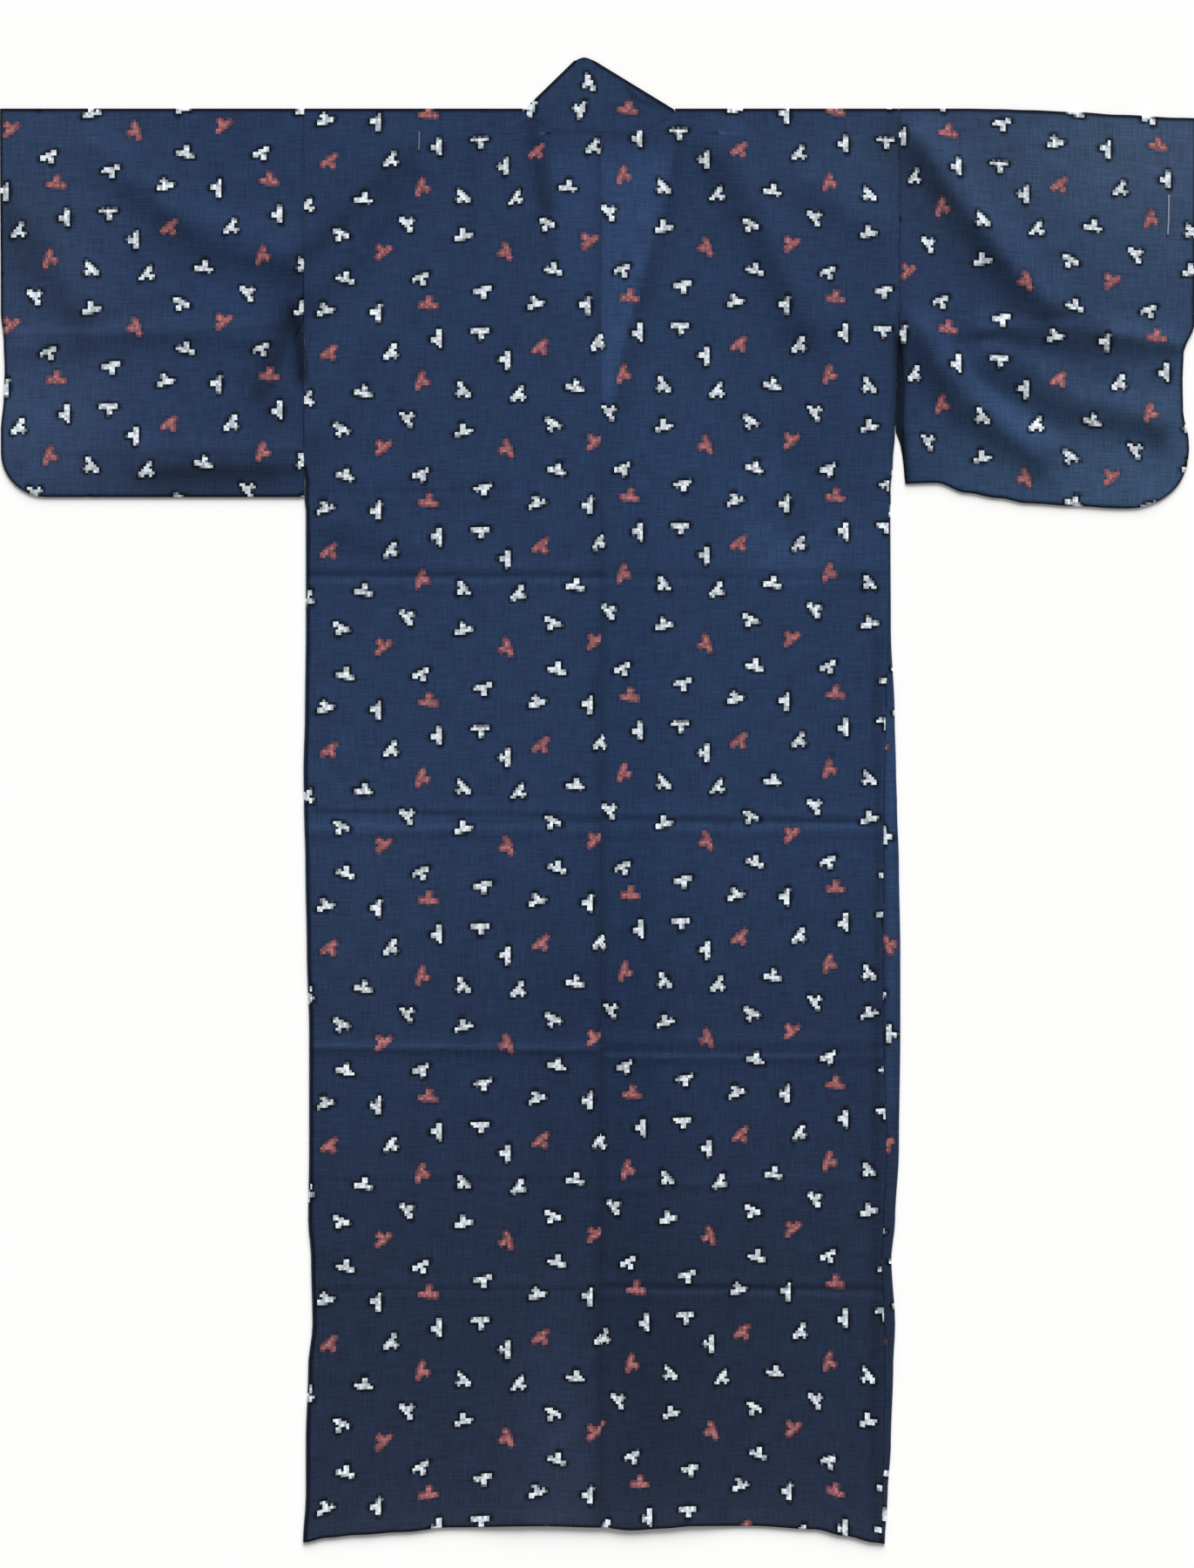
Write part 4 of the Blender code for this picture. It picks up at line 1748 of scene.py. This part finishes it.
    def back_spot(self, depth: float, share: float) -> Spot:
        """A place on the back, from its outer to its inner edge.

        Args:
            depth: Depth below the shoulder line.
            share: Share of the way from the outer edge.

        Returns:
            The spot.
        """
        edge = read(EDGES, depth, self.side.label)
        clear = min(1.0, LAY.seam_clearing * LAY.roll_of(depth))
        taken = LAY.turn_radius + LAY.half_wall + self.strip_at(depth) + LAY.seam_gap
        outer = edge - clear * taken - LAY.lip_reach(depth)
        in_neck = depth < LAY.neck_drop
        inner = LAY.neckline(self.side, depth) if in_neck else self.centre_gap / 2
        across = mix(outer, inner, share)
        x = self.side.value * across
        from_side, from_middle = self.seam_gap_from(x, depth, outer, inner)
        at_neck = soft((LAY.neck_drop + 2 * self.neck_ease - depth) / self.neck_ease)
        dip = self.seam_dip * bell(from_side, self.seam_reach)
        dip += self.centre_dip * (1 - at_neck) * bell(from_middle, self.seam_reach)
        sunk = self.hollow(x, depth)
        calm = 1 - at_neck * bell(from_middle, self.neck_calm)
        z = LAY.back_level + LAY.back_rise(x, depth) + self.relief.height(x, depth) * calm
        z += self.hem_step(depth) - dip - sunk * self.hollow_sag
        gain = self.tone(x, depth, sunk, from_side, abs(x) - LAY.seam_gap / 2)
        shade = ground_shade(x, depth, gain)
        return Spot(x, LAY.hemmed(x, depth), z, *self.lay.at(x, depth), shade)

    def tone(self, x: float, depth: float, sunk: float, from_side: float, from_centre: float) -> float:
        """Painted light in the hollow at the neck, and painted shade along the centre seam and at the
        outer edges.

        Args:
            x: Place across.
            depth: Depth below the shoulder.
            sunk: How deep in the hollow at the neck it is, from 0 to 1.
            from_side: Distance from the side edge.
            from_centre: Distance from the centre seam.

        Returns:
            A factor for all three of the ground's colours.
        """
        # Painted light in the hollow between the collar's arms
        light = self.hollow_light * sunk
        if x <= 0:
            start, span = self.left_fade
            light *= self.left_light * (1 - soft((depth - start) / span))
        # Painted shade along the centre seam
        start, span = self.seam_shade_grow
        grown = mix(self.seam_shade_top, 1.0, soft((depth - start) / span))
        seamed = 1 - self.seam_shade * bell(from_centre, self.seam_shade_reach) * grown
        # Painted shade along the left edge below the sleeve, and at the hem and the shoulder
        below_sleeve = 0.0
        if self.side is Side.LEFT:
            below_sleeve = soft((depth - LAY.slit_end) / self.edge_start)
        side = mix(1.0, rim_shade(from_side), below_sleeve)
        return (1 + light) * seamed * side * rim_shade(LAY.length - depth) * rim_shade(depth)

    def turn_spot(self, turn: float, share: float) -> Spot:
        """A place on the shoulder fold.

        Args:
            turn: Angle round the fold.
            share: Share of the way from the outer edge.

        Returns:
            The spot.
        """
        outer = read(EDGES, 0, self.side.label)
        x = self.side.value * mix(outer, LAY.neck_point[self.side], share)
        y = LAY.turn_radius * math.sin(turn)
        z = LAY.middle + LAY.fold_radius * math.cos(turn)
        return Spot(x, y, z, *self.lay.at(x, -y * 2), ground_shade(x, 0, rim_shade(0)))

    def front_spot(self, depth: float, share: float, column: float) -> Spot:
        """A place on the front, whose side rolls up to the seam on the back.

        Args:
            depth: Depth below the shoulder.
            share: Even share across, used near the shoulder.
            column: Column of the rolled grid, from the seam to the inner edge.

        Returns:
            The spot.
        """
        sign = self.side.value
        edge = read(EDGES, depth, self.side.label)
        strip = self.strip_at(depth)
        inner = read(FRONT_EDGES, depth, self.side.label, straight)
        roll = LAY.roll_of(depth)
        arc = math.pi * LAY.fold_radius
        outer = edge - mix(arc + strip, LAY.turn_radius + LAY.half_wall, roll) - LAY.lip_reach(depth)
        if column >= self.roll_columns:
            place = (column - self.roll_columns) / (self.body_columns - self.roll_columns)
            rolled_x = sign * mix(outer, inner, place)
            rise = LAY.right_rise(rolled_x, depth) if self.side is Side.RIGHT else 0.0
            cloth_x = rolled_x
            z = LAY.under_level + rise
        else:
            turned = min(1.0, (self.roll_columns - column) / (self.roll_columns - 1))
            flat = strip * max(0.0, 1 - column)
            angle = math.pi * roll * turned
            if roll > 0:
                reach = LAY.fold_radius / roll * math.sin(angle)
                height = LAY.fold_radius / roll * (1 - math.cos(angle))
            else:
                reach = arc * turned
                height = 0.0
            rolled_x = sign * (outer + reach + flat * math.cos(angle))
            cloth_x = sign * (outer + arc * turned + flat)
            z = LAY.under_level + height + flat * math.sin(angle)
        even_x = sign * mix(edge, inner, share)
        spread = soft(depth / self.even_until)
        x = mix(even_x, rolled_x, spread)
        cloth_x = mix(even_x, cloth_x, spread)
        shade = ground_shade(x, depth)
        return Spot(x, LAY.hemmed(x, depth), z, *self.lay.at(cloth_x, -depth), shade)

    def spots(self) -> list[list[Spot]]:
        """Rows of spots over both layers.

        Returns:
            The rows of the grid.
        """
        shares = edged_shares(self.width, self.column_pitch, self.fine_columns)
        flat_steps = len(shares) - 1 - self.strip_steps - self.roll_steps
        columns = [step / self.strip_steps for step in range(self.strip_steps)]
        rolled = self.roll_columns - 1
        columns += [1 + rolled * step / self.roll_steps for step in range(self.roll_steps)]
        rest = self.body_columns - self.roll_columns
        columns += [self.roll_columns + rest * step / flat_steps for step in range(flat_steps + 1)]
        rows = []
        for station in self.stations():
            if station.layer is Layer.BACK:
                rows.append([self.back_spot(station.depth, share) for share in shares])
            elif station.layer is Layer.TURN:
                rows.append([self.turn_spot(station.turn, share) for share in shares])
            else:
                pairs = zip(shares, columns)
                rows.append([self.front_spot(station.depth, *pair) for pair in pairs])
        return rows


@dataclass
class Sleeve(ClothPiece):
    """One length of cloth folded at its top and closed along the bottom round a corner.

    Attributes:
        side: Which sleeve.
        relief: What stands on its upper layer.
        width: Width that its columns are shared out over.
        depth: Height of the sleeve, in millimetres.
        corner: Radius of the rounded outer corner.
        wrist_opening: Depth down to which the wrist is open.
        wrist_ease: Height over which it closes.
        pitch: Distance of the upper layer's rows and columns.
        under_pitch: Distance of the lower layer's rows.
        edge_reach: How far from a closed edge the layers come together.
        closed_gap: Gap that is left between them there.
        seam_dip: How far the cloth dips into the armhole seam.
        seam_shade: How much painted shade darkens the armhole seam.
        seam_shade_reach: How far from the seam that shows.
        fine_columns: Distances of the crowded columns from both ends.
        fine_rows: Distances of the crowded rows from the bottom.
        fold_rows: Depths of the crowded rows at the fold.
        even_from: Distance from the bottom at which the even rows start.
        even_to: Depth at which they end.
        under_rows: Depths of the lower layer's first rows.
        under_from: Depth at which its even rows start.
    """

    side: Side = Side.LEFT
    relief: Relief = Relief(())
    width: float = 318.0
    depth: float = 410.0
    corner: float = 48.0
    wrist_opening: float = 215.0
    wrist_ease: float = 6.0
    pitch: float = 4.5
    under_pitch: float = 12.0
    edge_reach: float = 2.4
    closed_gap: float = 0.12
    seam_dip: float = 0.5
    seam_shade: float = 0.2
    seam_shade_reach: float = 3.0
    fine_columns: tuple[float, ...] = (0, 1.0, 2.2, 4.0, 7)
    fine_rows: tuple[float, ...] = (0, 0.8, 1.8, 3.2, 5)
    fold_rows: tuple[float, ...] = (3.2, 2.2, 1.1)
    even_from: float = 9.0
    even_to: float = 6.0
    under_rows: tuple[float, ...] = (3, 8)
    under_from: float = 16.0

    def stations(self) -> list[Station]:
        """Rows from the bottom of the upper layer over the fold to the bottom of the lower.

        Returns:
            The rows, in the grid's order.
        """
        rounded = [self.depth - distance for distance in self.fine_rows]
        lowest = self.depth - self.even_from
        upper = [*rounded, *even_steps(lowest, self.even_to, self.pitch), *self.fold_rows]
        under = [*self.under_rows, *even_steps(self.under_from, lowest, self.under_pitch)]
        under += reversed(rounded)
        rows = [Station(Layer.BACK, depth) for depth in upper] + turn_rows()
        return rows + [Station(Layer.FRONT, depth) for depth in under]

    def spot(self, station: Station, share: float) -> Spot:
        """A place on the sleeve, from the armhole to the wrist.

        Args:
            station: The row.
            share: Share of the way from the armhole.

        Returns:
            The spot.
        """
        label = self.side.label
        sign = self.side.value
        depth = station.depth
        inner_column = "in" if station.layer is Layer.BACK else "under"
        inner = read(SLEEVE_ENDS, depth, f"{label}_{inner_column}")
        outer = read(SLEEVE_ENDS, depth, f"{label}_out")
        into = max(0.0, depth - (self.depth - self.corner)) / self.corner
        outer -= self.corner * (1 - math.sqrt(max(0.0, 1 - into * into)))
        x = mix(inner, outer, share)
        top = read(RIGHT_HANG, x, "top") if self.side is Side.RIGHT else 0.0
        bottom = read(RIGHT_HANG, x, "bottom") if self.side is Side.RIGHT else self.depth
        y = -mix(top, bottom, depth / self.depth)
        cloth = self.lay.at(sign * x, -y)
        if station.layer is Layer.TURN:
            y += LAY.turn_radius * math.sin(station.turn)
            z = LAY.middle + LAY.fold_radius * math.cos(station.turn)
            return Spot(sign * x, y, z, *cloth, ground_shade(sign * x, 0, rim_shade(0)))
        closed_wrist = soft((depth - self.wrist_opening) / self.wrist_ease)
        at_wrist = bell(outer - x, self.edge_reach) * closed_wrist
        near = max(at_wrist, bell(self.depth - depth, self.edge_reach))
        closed = (LAY.cloth + self.closed_gap) / 2
        if station.layer is Layer.FRONT:
            z = mix(LAY.under_level, LAY.middle - closed, near)
            return Spot(sign * x, y, z, *self.lay.at(sign * x, y), ground_shade(sign * x, -y))
        # Painted shade at the sleeve's outer edges
        edge = rim_shade(outer - x) * rim_shade(self.depth - depth) * rim_shade(depth)
        # Painted shade along the armhole seam
        seamed = 1 - self.seam_shade * bell(x - inner, self.seam_shade_reach)
        shade = ground_shade(sign * x, -y, edge * seamed)
        lifted = self.relief.height(sign * x, -y)
        seam = self.seam_dip * bell(x - inner, self.edge_reach)
        z = mix(LAY.back_level + lifted, LAY.middle + closed, near) - seam
        return Spot(sign * x, y, z, *cloth, shade)

    def spots(self) -> list[list[Spot]]:
        """Rows of spots over both layers."""
        shares = edged_shares(self.width, self.pitch, self.fine_columns)
        return [[self.spot(station, share) for share in shares] for station in self.stations()]


@dataclass
class Overlap(ClothPiece):
    """The overlap panel at the edge of a front, from the hem up to a point at the collar.

    Attributes:
        side: Which front.
        columns: Columns across it.
        pitch: Distance of its rows, in millimetres.
        row_gaps: Distances of the even rows above and below the collar's end.
    """

    side: Side = Side.LEFT
    columns: int = 16
    pitch: float = 10.0
    row_gaps: tuple[float, float] = (5.0, 8.0)

    def spot(self, depth: float, share: float) -> Spot:
        """A place on the panel, from its seam with the front to its free or collar edge.

        Args:
            depth: Depth below the shoulder line.
            share: Share of the way from the seam.

        Returns:
            The spot.
        """
        seam = LAY.seam_gap - read(FRONT_EDGES, depth, self.side.label, straight)
        x = -self.side.value * mix(seam, LAY.overlap_edge(depth), share)
        rise = LAY.right_rise(x, depth) if self.side is Side.RIGHT else 0.0
        z = LAY.under_level + rise
        return Spot(x, LAY.hemmed(x, depth), z, *self.lay.at(x, depth), ground_shade(x, depth))

    def spots(self) -> list[list[Spot]]:
        """Rows of spots from the point down to the hem.

        Returns:
            The rows of the grid.
        """
        slant = [LAY.collar_end, LAY.collar_end + LAY.collar_slant]
        above, below = self.row_gaps
        depths = even_steps(LAY.overlap_tip, slant[0] - above, self.pitch) + slant
        depths += even_steps(slant[1] + below, LAY.length, self.pitch)
        shares = [step / self.columns for step in range(self.columns + 1)]
        return [[self.spot(depth, share) for share in shares] for depth in depths]


@dataclass
class Collar(ClothPiece):
    """One band from an overlap panel, round the back of the neck, to the other.

    Attributes:
        width: Width of the band, in millimetres.
        column_pitch: Distance of the even columns across it.
        fine_columns: Distances of the crowded columns from each edge.
        pitch: Distance of the rows along its arms.
        arm_from: Depth at which the arms' rows start.
        end_gap: Distance of their last even row from the end.
        neck_steps: Rows between two rungs of the neck.
        turn_steps: Rows round a turnover.
        puff: Height of the band's own fullness.
        seam_gap: Gap between the band and the back at the neck.
        fold_shares: Rows between a turnover and the rung beside it, as shares of the way.
    """

    width: float = 76.0
    column_pitch: float = 4.6
    fine_columns: tuple[float, ...] = (0, 0.4, 1.2, 2.8)
    pitch: float = 10.0
    arm_from: float = 20.0
    end_gap: float = 6.0
    neck_steps: int = 6
    turn_steps: int = 8
    puff: float = 0.5
    seam_gap: float = 0.08
    fold_shares: tuple[float, ...] = (0.18, 0.36, 0.6)

    @property
    def shares(self) -> list[float]:
        """Places of the columns across the band, as shares of its width."""
        return edged_shares(self.width, self.column_pitch, self.fine_columns)

    def mirrored(self, side: Side, x: float, y: float) -> tuple[float, float]:
        """Where a place on an arm would lie if the band weren't folded under.

        Args:
            side: Which arm.
            x: Place across.
            y: Place up.

        Returns:
            The place that it would have.
        """
        fold = LEFT_TURNOVER if side is Side.LEFT else RIGHT_TURNOVER
        start = Vector((fold.seam_x, fold.seam_y))
        along = (Vector((fold.free_x, fold.free_y)) - start).normalized()
        away = Vector((x, y)) - start
        place = start + 2 * away.dot(along) * along - away
        return place.x, place.y

    def edge_shade(self, x: float, y: float, share: float, length: float) -> float:
        """Painted shade at the band's edges and fold lines: how much darker it is near the edges of
        what shows of it.

        Args:
            x: Place across.
            y: Place up.
            share: Share of the way from the seam.
            length: Length of the row.

        Returns:
            What is left of the ground's colour.
        """
        distance = (1 - share) * length
        for fold in (LEFT_TURNOVER, RIGHT_TURNOVER):
            start, end = (fold.seam_x, -fold.seam_y), (fold.free_x, -fold.free_y)
            distance = min(distance, gap_to(start, end, x, -y))
        return rim_shade(distance)

    def arm_row(self, side: Side, depth: float) -> list[Spot]:
        """A row across an arm that lies under the back, from its seam to its free edge.

        Args:
            side: Which arm.
            depth: Depth below the shoulder line.

        Returns:
            The row's spots.
        """
        if depth < LAY.overlap_tip:
            seam_x = -read(FRONT_EDGES, depth, side.label, straight)
        else:
            seam_x = LAY.overlap_edge(min(depth, LAY.collar_end))
        seam_x += LAY.seam_gap
        free_x = LAY.lap_free(depth)
        at_end = depth >= LAY.collar_end
        row = []
        for share in self.shares:
            x = -side.value * mix(seam_x, free_x, share)
            y = -depth - (LAY.collar_slant * share - LAY.seam_gap if at_end else 0.0)
            rise = LAY.right_rise(x, -y) if side is Side.RIGHT else 0.0
            row.append(Spot(x, y, LAY.under_level + rise, *self.mirrored(side, x, y)))
        return row

    def band_row(
        self, seam: tuple[float, float], free: tuple[float, float], z: float, puffed: float
    ) -> list[Spot]:
        """A row across the band where it lies flat at the neck.

        Args:
            seam: Place of the seam end.
            free: Place of the free end.
            z: Height of the middle of the cloth.
            puffed: How much of the band's own fullness stands up here, from 0 to 1.

        Returns:
            The row's spots.
        """
        row = []
        for share in self.shares:
            x = mix(seam[0], free[0], share)
            y = mix(seam[1], free[1], share)
            full = self.puff * math.sin(math.pi * share) * puffed
            edge = self.edge_shade(x, y, share, math.dist(seam, free))
            row.append(Spot(x, y, z + full, x, y, ground_shade(x, -y, edge)))
        return row

    def turnover_rows(self, fold: Turnover, downwards: bool) -> list[list[Spot]]:
        """The band turned over along a fold line, between its upper and lower layers.

        Args:
            fold: The line.
            downwards: Whether the rows go from the upper layer to the lower.

        Returns:
            The rows.
        """
        along_x = fold.free_x - fold.seam_x
        along_y = fold.free_y - fold.seam_y
        length = math.hypot(along_x, along_y)
        sign = 1 if downwards else -1
        outward = (sign * abs(along_y) / length, abs(along_x) / length)
        rows = []
        for step in range(self.turn_steps + 1):
            turn = math.pi * step / self.turn_steps
            swell = LAY.turn_radius * math.sin(turn)
            z = LAY.middle + LAY.fold_radius * math.cos(turn) * sign
            seam = (fold.seam_x + outward[0] * swell, fold.seam_y + outward[1] * swell)
            free = (fold.free_x + outward[0] * swell, fold.free_y + outward[1] * swell)
            rows.append(self.band_row(seam, free, z, 0.0))
        return rows

    def neck_rows(self) -> list[list[Spot]]:
        """The band round the back of the neck.

        Returns:
            The rows.
        """
        rows = [self.near_fold(LEFT_TURNOVER, NECK_RUNGS[0], share) for share in self.fold_shares]
        for low, high in zip(NECK_RUNGS, NECK_RUNGS[1:]):
            for step in range(self.neck_steps):
                share = step / self.neck_steps
                rows.append(self.neck_row(low, high, share))
        rows.append(self.neck_row(NECK_RUNGS[-1], NECK_RUNGS[-1], 0.0))
        for share in reversed(self.fold_shares):
            rows.append(self.near_fold(RIGHT_TURNOVER, NECK_RUNGS[-1], share))
        return rows

    def near_fold(self, fold: Turnover, rung: Rung, share: float) -> list[Spot]:
        """A row a share of the way from a fold line to the rung beside it.

        Args:
            fold: The fold line.
            rung: The rung.
            share: Share of the way from the fold line.

        Returns:
            The row's spots.
        """
        seam_y = mix(fold.seam_y, self.seam_gap - rung.depth, share)
        seam_x = rung.side * LAY.neckline(Side(rung.side), max(self.seam_gap - seam_y, LAY.neck_top))
        free = (mix(fold.free_x, rung.free_x, share), mix(fold.free_y, rung.free_y, share))
        return self.band_row((seam_x, seam_y), free, LAY.back_level, share)

    def neck_row(self, low: Rung, high: Rung, share: float) -> list[Spot]:
        """One row at the neck, a share of the way from one rung to the next.

        Args:
            low: The rung before.
            high: The rung after.
            share: Share of the way between them.

        Returns:
            The row's spots.
        """
        depth = mix(low.depth, high.depth, share)
        side = Side(low.side)
        if low.side != high.side:
            side = Side.RIGHT
            seam_x = mix(0, LAY.neckline(side, high.depth), share)
            across = seam_x / LAY.neck_point[side]
            depth = LAY.neck_drop - (LAY.neck_drop - LAY.neck_top) * across**LAY.neck_power
        else:
            seam_x = side.value * LAY.neckline(side, depth)
        free = (mix(low.free_x, high.free_x, share), mix(low.free_y, high.free_y, share))
        return self.band_row((seam_x, self.seam_gap - depth), free, LAY.back_level, 1.0)

    def spots(self) -> list[list[Spot]]:
        """Rows from the end on the left front, round the neck, to the end on the right.

        Returns:
            The rows of the grid.
        """
        arm = even_steps(self.arm_from, LAY.collar_end - self.end_gap, self.pitch)
        arm.append(LAY.collar_end)
        rows = [self.arm_row(Side.LEFT, depth) for depth in reversed(arm)]
        rows += self.turnover_rows(LEFT_TURNOVER, False)
        rows += self.neck_rows()
        rows += self.turnover_rows(RIGHT_TURNOVER, True)
        return rows + [self.arm_row(Side.RIGHT, depth) for depth in arm]


@dataclass
class StrayThread:
    """A pale end of thread that lies on the cloth.

    Attributes:
        name: Name of the object.
        slot: The record's material slot of the cloth under it; not used.
        cloth: Relief of the cloth under it.
        way: Places that it passes.
        finish: The thread's finish.
        radius: Radius of the thread, with the hairs that stand off it.
        sides: Corners round it.
        pitch: Distance of the rings along it.
    """

    name: str
    slot: str
    cloth: Relief
    way: tuple[Bend, ...]
    finish: ThreadFinish
    radius: float
    sides: int = 8
    pitch: float = 1.5

    def build(self) -> bpy.types.Object:
        """Lays the thread along its way.

        Returns:
            The finished object.
        """
        top, bottom = self.way[0].depth, self.way[-1].depth
        steps = len(even_steps(top, bottom, self.pitch)) - 1
        form = bmesh.new()
        bmesh.ops.create_cone(
            form, cap_ends=True, segments=self.sides, radius1=self.radius, radius2=self.radius, depth=1,
        )
        upright = [edge for edge in form.edges if abs(edge.verts[0].co.z - edge.verts[1].co.z) > 0.5]
        bmesh.ops.subdivide_edges(form, edges=upright, cuts=steps - 1, use_grid_fill=True)
        for vert in form.verts:
            depth = mix(top, bottom, vert.co.z + 0.5)
            x = read(self.way, depth, "x")
            z = self.cloth.top(x, depth) + self.radius + vert.co.y
            vert.co = Vector((x + vert.co.x + LAY.place_x, LAY.place_y - depth, z)) * MM
        bmesh.ops.recalc_face_normals(form, faces=form.faces)
        for face in form.faces:
            face.smooth = len(face.verts) == 4
        piece = add_piece(self.name, form, self.finish.build())
        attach(piece, "root")
        log.info("%s: %.0f mm long", self.name, bottom - top)
        return piece


@dataclass(frozen=True)
class Studio:
    """The pale floor, the soft light and the camera straight above.

    Attributes:
        centre_x: Middle of the picture, in metres.
        centre_y: Middle of the picture, in metres.
        distance: Height of the camera.
        view_length: Length of the surface that the picture's long side covers.
        sensor: Camera sensor on the long side, in millimetres.
        floor_size: Side of the floor, past what a low view shows.
        floor_drop: How far the floor lies below the cloth.
        floor_colour: Colour of the floor.
        sun_power: Strength of the light from beyond the collar.
        sun_height: Its angle above the floor, in degrees.
        sun_turn: How far it is turned aside, in degrees.
        sun_softness: How wide it looks, in degrees.
        sky_power: Strength of the even light from all round.
    """

    centre_x: float = -1.2 * MM
    centre_y: float = 17.8 * MM
    distance: float = 5.0
    view_length: float = 1.6596
    sensor: float = 36.0
    floor_size: float = 40.0
    floor_drop: float = 0.4 * MM
    floor_colour: str = "#f4f4f3"
    sun_power: float = 4.93
    sun_height: float = 28.0
    sun_turn: float = -8.0
    sun_softness: float = 45.0
    sky_power: float = 0.36

    def build(self) -> None:
        """Makes the floor, the lights and the camera."""
        self.add_floor()
        self.add_light()
        self.add_camera()
        bpy.context.scene.view_settings.view_transform = "Standard"
        log.info("studio ready")

    def add_floor(self) -> None:
        """A plain matt floor, a hair below the cloth."""
        form = bmesh.new()
        bmesh.ops.create_grid(form, x_segments=4, y_segments=4, size=self.floor_size / 2)
        for vert in form.verts:
            vert.co.z = -self.floor_drop
        material, _, shader = new_material("matt paper floor")
        shader.inputs["Base Color"].default_value = srgb(self.floor_colour)
        shader.inputs["Roughness"].default_value = 0.9
        shader.inputs["Specular IOR Level"].default_value = 0.1
        add_piece("floor", form, material)

    def add_light(self) -> None:
        """A soft low light from beyond the collar, and an even pale sky."""
        sun = bpy.data.lights.new("window", "SUN")
        sun.energy = self.sun_power
        sun.angle = math.radians(self.sun_softness)
        lamp = bpy.data.objects.new("window", sun)
        lamp.rotation_euler = (math.radians(self.sun_height - 90), 0, math.radians(self.sun_turn))
        bpy.context.scene.collection.objects.link(lamp)
        world = bpy.data.worlds.new("studio")
        world.use_nodes = True
        background = world.node_tree.nodes["Background"]
        background.inputs["Color"].default_value = (1, 1, 1, 1)
        background.inputs["Strength"].default_value = self.sky_power
        bpy.context.scene.world = world

    def add_camera(self) -> None:
        """A long lens that looks straight down, with the collar at the top."""
        data = bpy.data.cameras.new("camera")
        data.sensor_width = self.sensor
        data.lens = self.sensor * self.distance / self.view_length
        camera = bpy.data.objects.new("camera", data)
        camera.location = (self.centre_x, self.centre_y, self.distance)
        bpy.context.scene.collection.objects.link(camera)
        bpy.context.scene.camera = camera


def main() -> None:
    """Builds the garment piece by piece, then the studio."""
    logging.basicConfig(level=logging.INFO, format="%(message)s")
    cotton = CottonFinish("printed indigo cotton", BIRDS)
    band = CottonFinish("printed indigo cotton of the collar", COLLAR_BIRDS)
    left_relief = Relief(BODY_FOLDS, CREASES, LINES, seed=1.0)
    right_relief = Relief(BODY_FOLDS, CREASES, LINES, seed=2.0)
    body_left = Body("body_left", "body_cotton", cotton, Side.LEFT, left_relief).build()
    body_right = Body("body_right", "body_cotton", cotton, Side.RIGHT, right_relief).build()
    sleeve_left = Sleeve(
        "sleeve_left", "sleeve_cotton", cotton, Side.LEFT, Relief(SLEEVE_FOLDS[Side.LEFT], seed=3.0)
    ).build()
    sleeve_relief = Relief(SLEEVE_FOLDS[Side.RIGHT], seed=4.0)
    sleeve_right = Sleeve(
        "sleeve_right", "sleeve_cotton", cotton, Side.RIGHT, sleeve_relief, corner=72.0
    ).build()
    okumi_left = Overlap("okumi_left", "overlap_cotton", cotton, Side.LEFT).build()
    okumi_right = Overlap("okumi_right", "overlap_cotton", cotton, Side.RIGHT).build()
    collar = Collar("collar", "collar_cotton", band).build()
    StrayThread(
        "stray_thread_body", "body_cotton", left_relief,
        (Bend(24, -192.2), Bend(34, -192.3), Bend(44, -192.8)), ThreadFinish("faded thread", "#5a6c7c"),
        radius=0.8,
    ).build()
    StrayThread(
        "stray_thread_sleeve", "sleeve_cotton", sleeve_relief,
        (Bend(91, 600.8), Bend(112, 600.6), Bend(133, 599.8)), ThreadFinish("undyed thread", "#8f95a8"),
        radius=0.85,
    ).build()
    Studio().build()


if __name__ == "__main__":
    main()
